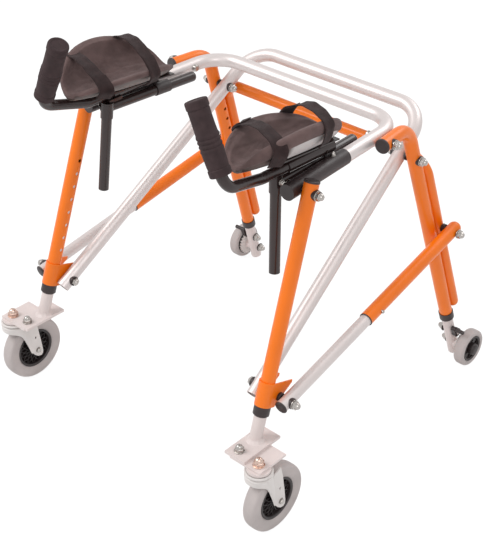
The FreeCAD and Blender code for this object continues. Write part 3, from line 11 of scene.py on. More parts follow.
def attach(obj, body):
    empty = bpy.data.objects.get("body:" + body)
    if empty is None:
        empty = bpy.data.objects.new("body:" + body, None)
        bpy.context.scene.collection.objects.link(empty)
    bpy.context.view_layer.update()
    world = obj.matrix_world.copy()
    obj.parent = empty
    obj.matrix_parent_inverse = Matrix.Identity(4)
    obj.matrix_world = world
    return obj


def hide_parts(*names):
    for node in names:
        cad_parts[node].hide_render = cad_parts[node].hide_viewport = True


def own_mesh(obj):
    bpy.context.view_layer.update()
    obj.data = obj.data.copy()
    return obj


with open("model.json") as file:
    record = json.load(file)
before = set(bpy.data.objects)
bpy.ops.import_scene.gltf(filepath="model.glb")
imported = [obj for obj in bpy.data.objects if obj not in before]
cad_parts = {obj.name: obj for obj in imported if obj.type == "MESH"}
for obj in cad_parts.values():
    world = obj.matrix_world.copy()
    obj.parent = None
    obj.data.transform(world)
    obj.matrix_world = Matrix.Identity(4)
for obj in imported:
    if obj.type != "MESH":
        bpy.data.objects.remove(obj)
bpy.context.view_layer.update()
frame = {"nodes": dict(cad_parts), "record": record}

# Metres: right is +X, the open front is -Y and up is +Z. Shapes are drawn for the right-hand side.
SIDES = ("right", "left")
OUTWARD, INWARD, UP = (1, 0, 0), (-1, 0, 0), (0, 0, 1)
WELD_DISTANCE = 1e-6
SHARP_ANGLE = math.radians(38)


# ---------------------------------------------------------------------------
# Materials
# ---------------------------------------------------------------------------
def srgb(red, green, blue):
    """Linear colour from display values of 0 to 255."""
    def linear(value):
        value = value / 255
        return value / 12.92 if value <= 0.04045 else ((value + 0.055) / 1.055) ** 2.4
    return (linear(red), linear(green), linear(blue), 1.0)


class Finish:
    """Node material on one Principled shader, fed by object coordinates in metres."""

    def __init__(self, name, colour, roughness, metallic=0.0, **sockets):
        self.material = bpy.data.materials.new(name)
        self.material.use_nodes = True
        self.tree = self.material.node_tree
        self.tree.nodes.clear()
        output = self.node("ShaderNodeOutputMaterial")
        self.shader = self.node("ShaderNodeBsdfPrincipled")
        self.link(self.shader.outputs[0], output.inputs[0])
        self.shader.inputs["Base Color"].default_value = colour
        self.shader.inputs["Roughness"].default_value = roughness
        self.shader.inputs["Metallic"].default_value = metallic
        for socket, value in sockets.items():
            self.shader.inputs[socket.replace("_", " ")].default_value = value
        self.place = self.node("ShaderNodeTexCoord").outputs["Object"]
        self.bump = None

    def node(self, kind, **values):
        """New node with some of its properties set."""
        made = self.tree.nodes.new(kind)
        for name, value in values.items():
            setattr(made, name, value)
        return made

    def link(self, source, target):
        self.tree.links.new(source, target)

    def scaled(self, scale):
        """Object coordinates stretched by a number or by three."""
        mapping = self.node("ShaderNodeMapping")
        mapping.inputs["Scale"].default_value = scale if hasattr(scale, "__len__") else (scale,) * 3
        self.link(self.place, mapping.inputs["Vector"])
        return mapping.outputs[0]

    def noise(self, scale, detail=3.0, roughness=0.5):
        """Cloudy texture, its scale in features per metre."""
        made = self.node("ShaderNodeTexNoise")
        made.inputs["Scale"].default_value = 1.0
        made.inputs["Detail"].default_value = detail
        made.inputs["Roughness"].default_value = roughness
        self.link(self.scaled(scale), made.inputs["Vector"])
        return made.outputs[0]

    def waves(self, scale, axis="X", distortion=0.0):
        """Parallel bands square to an axis."""
        made = self.node("ShaderNodeTexWave", bands_direction=axis)
        made.inputs["Scale"].default_value = 1.0
        made.inputs["Distortion"].default_value = distortion
        self.link(self.scaled(scale), made.inputs["Vector"])
        return made.outputs["Fac"]

    def cells(self, scale):
        """Pores, by the distance to the nearest."""
        made = self.node("ShaderNodeTexVoronoi")
        made.inputs["Scale"].default_value = 1.0
        self.link(self.scaled(scale), made.inputs["Vector"])
        return made.outputs["Distance"]

    def ramp(self, source, stops):
        """Colour ramp over pairs of place and colour."""
        made = self.node("ShaderNodeValToRGB")
        elements = made.color_ramp.elements
        while len(elements) < len(stops):
            elements.new(0.5)
        for element, (place, colour) in zip(elements, stops):
            element.position = place
            element.color = colour if hasattr(colour, "__len__") else (colour,) * 3 + (1,)
        self.link(source, made.inputs[0])
        return made.outputs[0]

    def multiply(self, first, second):
        """Product of two values."""
        made = self.node("ShaderNodeMath", operation="MULTIPLY")
        self.link(first, made.inputs[0])
        self.link(second, made.inputs[1])
        return made.outputs[0]

    def range(self, source, low, high):
        """Value spread from 0 to 1 between two limits."""
        made = self.node("ShaderNodeMapRange")
        made.inputs["From Min"].default_value = low
        made.inputs["From Max"].default_value = high
        self.link(source, made.inputs["Value"])
        return made.outputs[0]

    def coordinate(self, axis):
        """One of the object coordinates."""
        split = self.node("ShaderNodeSeparateXYZ")
        self.link(self.place, split.inputs[0])
        return split.outputs[axis]

    def off_middle(self):
        """Distance from the plane X = 0."""
        away = self.node("ShaderNodeMath", operation="ABSOLUTE")
        self.link(self.coordinate("X"), away.inputs[0])
        return away.outputs[0]

    def tint(self, source, low, high, start=0.3, end=0.7):
        """Base colour that varies between two colours with a texture."""
        self.link(self.ramp(source, [(start, low), (end, high)]), self.shader.inputs["Base Color"])
        return self

    def gloss(self, source, low, high, start=0.3, end=0.7):
        """Roughness that varies between two numbers with a texture."""
        self.link(self.ramp(source, [(start, low), (end, high)]), self.shader.inputs["Roughness"])
        return self

    def relief(self, source, depth, strength=1.0):
        """Bump from a texture, its depth in metres."""
        made = self.node("ShaderNodeBump")
        made.inputs["Strength"].default_value = strength
        made.inputs["Distance"].default_value = depth
        self.link(source, made.inputs["Height"])
        if self.bump is not None:
            self.link(self.bump, made.inputs["Normal"])
        self.bump = made.outputs[0]
        self.link(self.bump, self.shader.inputs["Normal"])
        return self


def shade(colour, factor):
    """Colour made darker or lighter."""
    return tuple(min(1.0, channel * factor) for channel in colour[:3]) + (1.0,)


def silver_finish():
    """Satin silver tube."""
    base = srgb(212, 203, 201)
    made = Finish("silver_tube", base, 0.42, 0.5)
    made.tint(made.noise(9.0, 4.0), shade(base, 0.97), shade(base, 1.03))
    made.gloss(made.noise(70.0, 3.0), 0.39, 0.46)
    return made.relief(made.noise(60.0, 2.0), 0.00004, 0.2).material


def orange_finish():
    """Smooth orange powder coat."""
    base = srgb(243, 118, 8)
    made = Finish("orange_paint", base, 0.32, Specular_IOR_Level=0.45)
    made.tint(made.noise(14.0, 4.0), shade(base, 0.94), shade(base, 1.05))
    made.gloss(made.noise(40.0), 0.29, 0.37)
    return made.relief(made.noise(900.0, 2.0), 0.00005, 0.3).material


def plastic_finish(name, base, roughness, grain=700.0, depth=0.00006, cloud=0.13):
    """Plain plastic or paint, its grain in bumps per metre."""
    made = Finish(name, base, roughness)
    made.tint(made.noise(20.0, 4.0), shade(base, 1 - cloud), shade(base, 1 + cloud))
    made.gloss(made.noise(55.0), roughness - 0.06, roughness + 0.06)
    return made.relief(made.noise(grain, 3.0), depth, 0.5).material


def metal_finish(name, base, roughness):
    """Plated bare metal."""
    made = Finish(name, base, roughness, 1.0)
    made.tint(made.noise(60.0, 4.0), shade(base, 0.88), shade(base, 1.08))
    made.gloss(made.noise((300, 300, 30)), roughness - 0.05, roughness + 0.08)
    return made.relief(made.noise(800.0), 0.00003, 0.3).material


def tyre_finish():
    """Matt grey rubber."""
    base = srgb(188, 179, 177)
    made = Finish("grey_tyre", base, 0.62, Specular_IOR_Level=0.35)
    made.tint(made.noise(25.0, 5.0), shade(base, 0.90), shade(base, 1.06))
    made.relief(made.noise(450.0, 4.0), 0.00018, 0.4)
    return made.relief(made.noise(60.0, 3.0), 0.0004, 0.2).material


def foam_finish():
    """Open-pored foam."""
    base = srgb(58, 45, 46)
    made = Finish("grip_foam", base, 0.8, Specular_IOR_Level=0.25)
    made.tint(made.noise(70.0, 5.0), shade(base, 0.8), shade(base, 1.25))
    made.relief(made.cells(900.0), 0.00025, 0.5)
    return made.relief(made.noise(160.0, 4.0), 0.0004, 0.35).material


def lining_finish():
    """Finely woven lining."""
    base = srgb(104, 84, 82)
    made = Finish("lining", base, 0.86, Specular_IOR_Level=0.25, Sheen_Weight=0.08,
                  Sheen_Roughness=0.5)
    made.tint(made.noise(45.0, 5.0), shade(base, 0.78), shade(base, 1.15))
    weave = made.multiply(made.waves(520.0, "X"), made.waves(520.0, "Y"))
    made.relief(weave, 0.0003, 0.5)
    return made.relief(made.noise(120.0, 4.0), 0.0006, 0.25).material


def strap_finish():
    """Fuzzy strap cloth."""
    base = srgb(48, 35, 35)
    made = Finish("strap_fabric", base, 0.9, Specular_IOR_Level=0.2, Sheen_Weight=0.06,
                  Sheen_Roughness=0.5)
    made.tint(made.noise(90.0, 5.0), shade(base, 0.75), shade(base, 1.35))
    made.relief(made.noise(1100.0, 5.0, 0.7), 0.0007, 0.7)
    return made.relief(made.waves(900.0, "X", 1.0), 0.0002, 0.3).material


def shell_finish():
    """Light grey outer wall between the straps, dark towards both ends and on the inner wall."""
    grey, dark = srgb(196, 190, 189), srgb(70, 56, 52)
    made = Finish("trough_shell", grey, 0.42)
    ends = made.ramp(made.range(made.coordinate("Y"), -0.200, -0.030),
                     [(0.0, dark), (0.10, dark), (0.16, grey), (0.86, grey), (0.92, dark)])
    walls = made.node("ShaderNodeMix", data_type="RGBA")
    # A Mix node repeats its socket names for each kind of data, so these go by number.
    share, inner_wall, outer_wall = (walls.inputs[number] for number in (0, 6, 7))
    inner_wall.default_value = dark
    made.link(made.range(made.off_middle(), 0.185, 0.200), share)
    made.link(ends, outer_wall)
    made.link(walls.outputs[2], made.shader.inputs["Base Color"])
    made.gloss(made.noise(55.0), 0.36, 0.50)
    return made.relief(made.noise(700.0, 3.0), 0.00006, 0.5).material


def bolt_finish():
    """Bright zinc on the foot bolts and a warmer plating on the kingpins."""
    zinc, brass = srgb(190, 186, 182), srgb(206, 182, 170)
    made = Finish("bolt_plating", zinc, 0.2, 1.0)
    made.tint(made.range(made.off_middle(), 0.28, 0.31), zinc, brass, 0.4, 0.6)
    made.gloss(made.noise((300, 300, 30)), 0.15, 0.27)
    return made.relief(made.noise(800.0), 0.00003, 0.3).material


def painted_gap_shade_finish():
    """Shadow inside a narrow gap."""
    made = Finish("dark_gap", srgb(30, 27, 27), 0.6)
    return made.tint(made.noise(200.0), srgb(20, 18, 18), srgb(48, 44, 42)).material


# A material for each slot in the record, and five more that count as one of those.
LOOKS = {
    "silver_tube": silver_finish(),
    "orange_paint": orange_finish(),
    "black_plastic": plastic_finish("black_plastic", srgb(44, 33, 33), 0.45),
    "zinc": metal_finish("zinc", srgb(176, 171, 167), 0.22),
    "grey_paint": plastic_finish("grey_paint", srgb(222, 209, 206), 0.42, 500.0, 0.00004, 0.05),
    "black_paint": plastic_finish("black_paint", srgb(46, 33, 32), 0.18, 600.0, 0.00002),
    "hub_plastic": plastic_finish("hub_plastic", srgb(33, 24, 24), 0.5, 350.0, 0.0002),
    "grey_tyre": tyre_finish(),
    "grip_foam": foam_finish(),
    "trough_shell": shell_finish(),
    "lining": lining_finish(),
    "strap_fabric": strap_finish(),
    "pressed_zinc": plastic_finish("pressed_zinc", srgb(218, 212, 209), 0.34, 500.0, 0.00003, 0.04),
    "ring_plastic": plastic_finish("ring_plastic", srgb(212, 205, 202), 0.45, 500.0, 0.00004),
    "bolt_plating": bolt_finish(),
    "dark_gap": painted_gap_shade_finish(),
    "warm_zinc": metal_finish("warm_zinc", srgb(206, 182, 170), 0.24),
}


def wear(thing, look):
    """Give a thing one look all over."""
    thing.data.materials.clear()
    thing.data.materials.append(LOOKS[look])


for entry in frame["record"]["subparts"]:
    plated = entry["node"].startswith("caster_bolts")
    wear(frame["nodes"][entry["node"]], "bolt_plating" if plated else entry["material_slot"])


# ---------------------------------------------------------------------------
# Mesh helpers
# ---------------------------------------------------------------------------
UNPAIRED_BODIES = ("rail", "rear_frame")


def add_mesh(name, points, faces, look, body):
    """Mesh object that rides on a body."""
    mesh = bpy.data.meshes.new(name)
    mesh.from_pydata([tuple(point) for point in points], [], faces)
    mesh.update()
    turned = bmesh.new()
    turned.from_mesh(mesh)
    bmesh.ops.remove_doubles(turned, verts=turned.verts, dist=WELD_DISTANCE)
    bmesh.ops.recalc_face_normals(turned, faces=turned.faces)
    turned.to_mesh(mesh)
    turned.free()
    for polygon in mesh.polygons:
        polygon.use_smooth = True
    mesh.set_sharp_from_angle(angle=SHARP_ANGLE)
    thing = bpy.data.objects.new(name, mesh)
    bpy.context.collection.objects.link(thing)
    wear(thing, look)
    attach(thing, body)
    return thing


def mirrored(points, faces):
    """The same mesh on the other side of X = 0."""
    return [(-point[0], point[1], point[2]) for point in points], [face[::-1] for face in faces]


def on_side(shape, side):
    """A right-hand mesh, or its mirror image for the left."""
    return shape if side == "right" else mirrored(*shape)


def add_pair(name, shape, look, body, instead_of=None):
    """Right-hand mesh and its mirror image; they may stand for a pair of CAD nodes."""
    made = []
    for side in SIDES:
        carrier = body if body in UNPAIRED_BODIES else f"{body}_{side}"
        thing = add_mesh(f"{name}_{side}", *on_side(shape, side), look, carrier)
        if instead_of:
            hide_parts(f"{instead_of}_{side}")
        made.append(thing)
    return made


def joined(*shapes):
    """Several meshes as one."""
    points, faces = [], []
    for more_points, more_faces in shapes:
        base = len(points)
        points.extend(more_points)
        faces.extend([tuple(index + base for index in face) for face in more_faces])
    return points, faces


def basis(axis):
    """Two unit vectors square to an axis."""
    axis = Vector(axis).normalized()
    side = Vector(UP).cross(axis)
    if side.length < 1e-3:
        side = Vector((0, 1, 0)).cross(axis)
    side.normalize()
    return side, axis.cross(side)


def soften(profile, radius, steps=4):
    """Profile of pairs with its corners rounded, apart from its two ends."""
    result = [Vector(profile[0])]
    for before, corner, after in zip(profile, profile[1:], profile[2:]):
        before, corner, after = Vector(before), Vector(corner), Vector(after)
        back, ahead = before - corner, after - corner
        if back.length < 1e-7 or ahead.length < 1e-7:
            continue
        reach = min(radius, back.length * 0.45, ahead.length * 0.45)
        start = corner + back.normalized() * reach
        end = corner + ahead.normalized() * reach
        for step in range(steps + 1):
            share = step / steps
            result.append(start * (1 - share) ** 2 + corner * 2 * share * (1 - share)
                          + end * share ** 2)
    result.append(Vector(profile[-1]))
    return result


def lathe(profile, origin, axis, count=72, wobble=None):
    """Mesh turned round an axis from pairs of radius and distance along it."""
    side, top = basis(axis)
    origin, axis = Vector(origin), Vector(axis).normalized()
    points, faces, rings = [], [], []
    for radius, reach in profile:
        if radius < 1e-6:
            rings.append([len(points)])
            points.append(origin + axis * reach)
            continue
        ring = []
        for step in range(count):
            angle = 2 * math.pi * step / count
            local = radius if wobble is None else wobble(radius, reach, angle)
            ring.append(len(points))
            points.append(origin + axis * reach
                          + (side * math.cos(angle) + top * math.sin(angle)) * local)
        rings.append(ring)
    for low, high in zip(rings, rings[1:]):
        for step in range(count):
            ahead = (step + 1) % count
            if len(low) == 1 and len(high) == 1:
                break
            if len(low) == 1:
                faces.append((low[0], high[ahead], high[step]))
            elif len(high) == 1:
                faces.append((low[step], low[ahead], high[0]))
            else:
                faces.append((low[step], low[ahead], high[ahead], high[step]))
    return points, faces


def prism(outline, direction, bevel=0.0006):
    """Solid between an outline and its copy, its two rims slightly bevelled."""
    direction = Vector(direction)
    unit = direction.normalized()
    outline = [Vector(point) for point in outline]
    centre = sum(outline, Vector()) / len(outline)

    def pulled(point):
        inward = centre - point
        return point + inward.normalized() * min(bevel, inward.length * 0.3)

    loops = [
        [pulled(point) for point in outline],
        [point + unit * bevel for point in outline],
        [point + direction - unit * bevel for point in outline],
        [pulled(point) + direction for point in outline],
    ]
    return skin(loops)


def skin(loops, closed_ends=True):
    """Mesh through a row of closed loops with the same number of points."""
    count = len(loops[0])
    points = [point for loop in loops for point in loop]
    last = len(points) - count
    faces = []
    for base in range(0, last, count):
        for step in range(count):
            ahead = (step + 1) % count
            faces.append((base + step, base + ahead, base + count + ahead, base + count + step))
    if closed_ends:
        faces += [tuple(range(count))[::-1], tuple(range(last, last + count))]
    return points, faces


def hexagon(centre, axis, across):
    """Six corners round a centre."""
    side, top = basis(axis)
    radius = across / 2 / math.cos(math.pi / 6)
    return [Vector(centre) + (side * math.cos(math.pi / 3 * step)
                              + top * math.sin(math.pi / 3 * step)) * radius for step in range(6)]


# ---------------------------------------------------------------------------
# Wheels
# ---------------------------------------------------------------------------
FRONT_RADIUS, FRONT_WIDTH, FRONT_RIM = 0.0635, 0.026, 0.040
CROWN = 0.0085
CASTER_AXLE = (0.3155, -0.2909, FRONT_RADIUS)
REAR_AXLE = (0.3048, 0.3164, 0.038)


def front_tyre_profile():
    """Front tyre's section as pairs of radius and distance along the axle."""
    half = FRONT_WIDTH / 2
    shoulder = FRONT_RADIUS - CROWN
    tread = []
    for step in range(-14, 15):
        share = step / 14
        crown = 1 - abs(share) ** 2.6
        tread.append((shoulder + CROWN * crown ** 0.55, half * math.sin(share * math.pi / 2)))
    lower = [(FRONT_RIM + 0.004, half * 0.97), (FRONT_RIM + 0.0015, half * 0.84),
             (FRONT_RIM, half - 0.0032)]
    upper = [(radius, -reach) for radius, reach in reversed(lower)]
    return upper + tread + lower


def tyres():
    """Rounded grey tyres, the front ones wide in the wall and the back ones flat in the tread."""
    add_pair("front_tyre", lathe(front_tyre_profile(), CASTER_AXLE, OUTWARD, 128), "grey_tyre",
             "wheel", "caster_tyre")
    back = soften([(0.0262, -0.0078), (0.0290, -0.0108), (0.0325, -0.0110), (0.0362, -0.0100),
                   (0.0378, -0.0070), (0.0380, 0.0), (0.0378, 0.0070), (0.0362, 0.0100),
                   (0.0325, 0.0110), (0.0290, 0.0108), (0.0262, 0.0078)], 0.0018)
    add_pair("back_tyre", lathe(back, REAR_AXLE, OUTWARD, 112), "grey_tyre", "small_wheel",
             "rear_tyre")


def wheel_point(axle, radius, angle, reach=0.0):
    """Point round an axle, reach along it."""
    return Vector(axle) + Vector((reach, radius * math.cos(angle), radius * math.sin(angle)))


def front_hub_rib(sweep, turn, face):
    """Thin rib on one face of the front wheel's web, curving from the boss to the rim."""
    boss, rim, half_thickness, base, rise = 0.0092, 0.0356, 0.00055, 0.0010, 0.0078
    loops = []
    for step in range(7):
        share = step / 6
        angle = turn + sweep * share
        spot = wheel_point(CASTER_AXLE, boss + (rim - boss) * share, angle)
        across = Vector((0, -math.sin(angle), math.cos(angle))) * half_thickness
        low, high = Vector((face * base, 0, 0)), Vector((face * rise * (1.15 - 0.3 * share), 0, 0))
        loops.append([spot - across + low, spot + across + low, spot + across + high,
                      spot - across + high])
    return skin(loops)


def front_hubs():
    """Dark wheel centres with a thin web and a lattice of fine curved ribs."""
    profile = [(0.0046, -0.0143), (0.0084, -0.0143), (0.0095, -0.0132), (0.0101, -0.0020),
               (0.0340, -0.0014), (0.0352, -0.0096), (0.0368, -0.0109), (0.0402, -0.0109),
               (0.0402, 0.0109), (0.0368, 0.0109), (0.0352, 0.0096), (0.0340, 0.0014),
               (0.0101, 0.0020), (0.0095, 0.0132), (0.0084, 0.0143), (0.0046, 0.0143)]
    shapes = [lathe(profile, CASTER_AXLE, OUTWARD, 96)]
    ribs, sweep = 16, 0.62
    for face in (1, -1):
        for count in range(ribs):
            turn = math.pi * 2 * count / ribs
            shapes += [front_hub_rib(sweep, turn, face), front_hub_rib(-sweep, turn, face)]
    add_pair("front_hub", joined(*shapes), "hub_plastic", "wheel", "caster_hub")


def pierced(outline, centre, radius, direction, stretch=1.0):
    """Plate with one hole, round or stretched upright, that sees the whole outline."""
    direction, centre = Vector(direction), Vector(centre)
    rim, hole = [], []
    for start, end in zip(outline, outline[1:] + outline[:1]):
        for step in range(4):
            spot = Vector(start).lerp(Vector(end), step / 4)
            away = (spot - centre).normalized() * radius
            away.z = away.z * stretch
            rim.append(spot)
            hole.append(centre + away)
    loops = [hole, rim, [spot + direction for spot in rim], [spot + direction for spot in hole]]
    return skin(loops + [hole], closed_ends=False)


def rear_hub_sector(turn):
    """One sixth of the rear wheel's web, with its round window."""
    half, face, thickness = math.pi / 6, 0.001, 0.0045
    outline = [wheel_point(REAR_AXLE, radius, turn + way * half * (step / 2 - 1), face)
               for radius, way in ((0.0232, 1), (0.0105, -1)) for step in range(5)]
    window = wheel_point(REAR_AXLE, 0.0172, turn, face)
    return pierced(outline, window, 0.0041, (thickness, 0, 0))


def rear_hubs():
    """Black wheel centres with round windows and a domed boss on the outer side."""
    rim = [(0.0225, -0.0085), (0.0248, -0.0100), (0.0268, -0.0100), (0.0268, 0.0100),
           (0.0248, 0.0100), (0.0225, 0.0085), (0.0225, -0.0085)]
    boss = [(0.0050, -0.0108), (0.0095, -0.0108), (0.0105, -0.0090), (0.0108, 0.0010),
            (0.0122, 0.0060), (0.0122, 0.0125), (0.0114, 0.0155), (0.0094, 0.0178),
            (0.0060, 0.0187), (0.0030, 0.0189), (0.0, 0.0190)]
    shapes = [lathe(rim, REAR_AXLE, OUTWARD, 84),
              lathe(soften(boss, 0.001), REAR_AXLE, OUTWARD, 60)]
    shapes += [rear_hub_sector(math.pi / 3 * count + 0.3) for count in range(6)]
    add_pair("back_hub", joined(*shapes), "hub_plastic", "small_wheel", "rear_hub")


def ratchet_rings():
    """Toothed ring on the inner side of each rear wheel."""
    teeth, steps, bore, tip, root = 24, 6, 0.0100, 0.0268, 0.0240
    toothed = [tip if step % steps in (1, 2, 3) else root for step in range(teeth * steps)]
    plain = [bore] * len(toothed)
    loops = []
    section = ((plain, -0.0172), (toothed, -0.0176), (toothed, -0.0116), (plain, -0.0112))
    for radii, reach in section:
        loops.append([wheel_point(REAR_AXLE, radius, 2 * math.pi * step / len(radii), reach)
                      for step, radius in enumerate(radii)])
    ring = skin(loops + [loops[0]], closed_ends=False)
    add_pair("ratchet_ring", ring, "ring_plastic", "small_wheel")


# Forks: the sheet's lower edge and one leg's outline (Y, Z), X and Y from the kingpin's axis.
SWIVEL_PLACE = Vector((0.3155, -0.3263, 0.0))
FORK_HALF_WIDTH = 0.0190
FORK_SHEET = 0.0022
FORK_PLATE_THICKNESS = 0.0025
CROWN_RADIUS, CROWN_LEVEL = 0.0236, 0.1340
FORK_EDGE = ((0.0, -0.0240, 0.1262), (0.0090, -0.0223, 0.1256), (0.0155, -0.0175, 0.1245),
             (0.0186, -0.0100, 0.1215), (0.0190, -0.0030, 0.1160), (0.0190, 0.0035, 0.1080),
             (0.0190, 0.0090, 0.0970), (0.0190, 0.0145, 0.0830), (0.0190, 0.0190, 0.0700),
             (0.0190, 0.0215, 0.0620))
FORK_PLATE = ((0.0150, 0.1305), (0.0340, 0.1390), (0.0395, 0.1150), (0.0440, 0.0830),
              (0.0468, 0.0570), (0.0455, 0.0505), (0.0415, 0.0475), (0.0345, 0.0490),
              (0.0275, 0.0545), (0.0215, 0.0625), (0.0180, 0.0820), (0.0148, 0.1100))


def fork_skirt():
    """Pressed crown sheet that sweeps from the turning race down both legs."""
    count = len(FORK_EDGE) - 1
    edge = [(-x, y, z) for x, y, z in reversed(FORK_EDGE[1:])] + list(FORK_EDGE)
    sweep, rows, fullness = math.radians(124), 9, 0.0012
    loops = []
    for index, low in enumerate(edge):
        angle = sweep * (index - count) / count
        top = Vector((CROWN_RADIUS * math.sin(angle), -CROWN_RADIUS * math.cos(angle), CROWN_LEVEL))
        side, within = [], []
        for row in range(rows):
            drop = row / (rows - 1)
            spot = top.lerp(Vector(low), drop)
            bulge = fullness * math.sin(math.pi * drop)
            away = Vector((spot.x, spot.y, 0)).normalized()
            side.append(spot + away * bulge)
            within.append(spot + away * (bulge - FORK_SHEET))
        loops.append(side + within[::-1])
    points, faces = skin(loops)
    return [point + SWIVEL_PLACE for point in points], faces


def fork_plates():
    """Flat outer parts of the two fork legs, each with a small oval hole."""
    shapes = []
    for way in (1, -1):
        place = SWIVEL_PLACE + Vector((way * FORK_HALF_WIDTH, 0, 0))
        outline = [place + Vector((0, reach, level)) for reach, level in FORK_PLATE]
        hole = place + Vector((0, 0.0324, 0.094))
        inward = (-way * FORK_PLATE_THICKNESS, 0, 0)
        shapes.append(pierced(outline, hole, 0.0019, inward, 1.5))
    return shapes


def domed_nut(place, axis, across, height):
    """Hexagon with a rounded cap."""
    axis = Vector(axis).normalized()
    foot = Vector(place)
    body = prism(hexagon(foot, axis, across), axis * height * 0.5, 0.0004)
    cap = [(across * 0.5, height * 0.48), (across * 0.47, height * 0.62),
           (across * 0.38, height * 0.82), (across * 0.22, height * 0.96), (0.0, height)]
    return joined(body, lathe(cap, foot, axis, 32))


def washer(place, axis, radius, height):
    """Round disc with softened rims."""
    rim = [(0.0, 0.0), (radius, 0.0), (radius, height), (0.0, height)]
    return lathe(soften(rim, height * 0.35), place, axis, 40)


def forks():
    """Pressed zinc forks with their turning races and axle nuts."""
    crown = soften([(0.0, 0.1316), (0.0205, 0.1316), (0.0238, 0.1328), (0.0248, 0.1352),
                    (0.0243, 0.1375), (0.0222, 0.1388), (0.0180, 0.1390)], 0.0008)
    gap = [(0.0192, 0.1384), (0.0192, 0.1408)]
    race = soften([(0.0190, 0.1404), (0.0230, 0.1405), (0.0246, 0.1416), (0.0247, 0.1434),
                   (0.0236, 0.1450), (0.0216, 0.1452), (0.0196, 0.1440), (0.0180, 0.1425),
                   (0.0, 0.1423)], 0.0006)
    sheets = [lathe(crown, SWIVEL_PLACE, UP), lathe(race, SWIVEL_PLACE, UP), fork_skirt()]
    add_pair("fork", joined(*sheets, *fork_plates()), "pressed_zinc", "swivel", "caster_fork")
    # Painted shade: a dark ring fills the narrow gap between each fork crown and its turning race.
    add_pair("race_gap_shade", lathe(gap, SWIVEL_PLACE, UP, 60), "dark_gap", "swivel")
    ends, disc = [], 0.0010
    for way in (OUTWARD, INWARD):
        face = Vector(CASTER_AXLE) + Vector(way) * FORK_HALF_WIDTH
        ends += [washer(face, way, 0.0062, disc),
                 domed_nut(face + Vector(way) * disc, way, 0.0092, 0.0046)]
    pin = lathe([(0.0040, -0.0185), (0.0040, 0.0185)], CASTER_AXLE, OUTWARD, 24)
    add_pair("fork_axle", joined(*ends, pin), "zinc", "swivel")


# ---------------------------------------------------------------------------
# Grips
# ---------------------------------------------------------------------------
GRIP_FOOT = Vector((0.2036, -0.2893, 0.636))
GRIP_AXIS = Vector((-0.4258, 0.0, 0.9048))
# Reach along the grip and radius there, in millimetres.
GRIP_RUN = ((0.0, 13.2), (0.0, 16.5), (1.5, 17.8), (11, 18.0), (12.5, 16.6), (14, 16.8), (18, 17.2),
            (28, 17.6), (38, 17.8), (40.5, 18.3), (42, 18.6), (43.6, 18.2), (45.5, 17.0),
            (47.2, 18.0), (49, 18.6), (50.8, 18.1), (52.5, 17.0), (54.2, 18.0), (56, 18.6),
            (57.8, 18.1), (59.5, 17.0), (61.2, 18.0), (63, 18.4), (65, 18.1), (67, 17.4),
            (76, 17.1), (85, 17.0), (95, 17.05), (104, 17.2), (105.5, 16.7), (107, 18.1),
            (109, 18.2), (116, 18.2), (118, 17.7), (119, 16.6), (119.2, 14.0), (118.6, 12.6),
            (118.2, 12.2), (118.1, 6.0), (118.1, 0.0))


def grips():
    """Moulded foam grips with finger rings and a collar at each end."""
    profile = [(radius / 1000, reach / 1000) for reach, radius in GRIP_RUN]

    def wobble(radius, reach, angle):
        swell = math.sin(angle * 3 + reach * 55) + 0.6 * math.sin(angle * 5 - reach * 90)
        return radius * (1 + 0.0045 * swell)

    add_pair("foam_grip", lathe(profile, GRIP_FOOT, GRIP_AXIS, 96, wobble), "grip_foam", "handgrip",
             "grip")


# ---------------------------------------------------------------------------
# Linings and straps
# ---------------------------------------------------------------------------
# The trough: its lowest point half-way along, its slope, its wall's centre and radius at its
# middle, and the angles of its two rims.
TROUGH_MIDDLE = Vector((0.1915, -0.1323, 0.609))
TROUGH_HALF_LENGTH = 0.118
TROUGH_PITCH = math.tan(math.radians(4.6))
TROUGH_CENTRE = (-0.003515, 0.06858)
TROUGH_RADIUS = 0.06867
INNER_ANGLE, OUTER_ANGLE = math.radians(-153.6), math.radians(-3.8)

# The lining: depth of its face and its back inside the trough's skin, and the section rolled over
# a rim, as pairs of reach round the trough and depth.
LINING_FACE, LINING_BACK = 0.0115, 0.0033
LINING_REACH = 0.985
RIM_ROLL = ((-0.0185, 0.0002), (-0.0165, -0.0026), (-0.0115, -0.0040), (-0.006, -0.0040),
            (0.001, -0.0032), (0.0055, 0.0002), (0.0070, 0.0055), (0.0050, 0.0110),
            (-0.001, 0.0138), (-0.009, 0.0136))
VOXEL = 0.0024
HELD_DEPTH = 0.0060
CLOTH_PRESSURE = 4.0
CLOTH_FRAMES = 20
MOST_SWELL = 0.0035

# The straps: their depth, which is outside the skin, their tails down the two walls, and for
# each strap the places along Y of its inner and outer feet, and the level of its crest.
STRAP_DEPTH = -0.0072
INNER_TAIL, OUTER_TAIL = 0.022, 0.034
STRAP_RUNS = {
    "right": ((-0.1673, -0.2063, 0.671), (-0.0613, -0.1063, 0.682)),
    "left": ((-0.2083, -0.1893, 0.661), (-0.1093, -0.0773, 0.681)),
}


def trough_share(y):
    """Place along the trough, from -1 at its front end to 1 at its rear."""
    return (y - TROUGH_MIDDLE.y) / TROUGH_HALF_LENGTH


def limited(value, most):
    """A value kept between two equal limits."""
    return max(-most, min(most, value))


def trough_point(share, angle, depth):
    """Point of the trough: share of its half length, angle round it, depth inside its skin."""
    spread = math.sqrt(max(0.0, 1 - share * share))
    along = share * TROUGH_HALF_LENGTH
    low = TROUGH_MIDDLE + Vector((0, along, -along * TROUGH_PITCH))
    radius = TROUGH_RADIUS * spread - depth
    return low + Vector((TROUGH_CENTRE[0] * spread + radius * math.cos(angle), 0,
                         TROUGH_CENTRE[1] * spread + radius * math.sin(angle)))


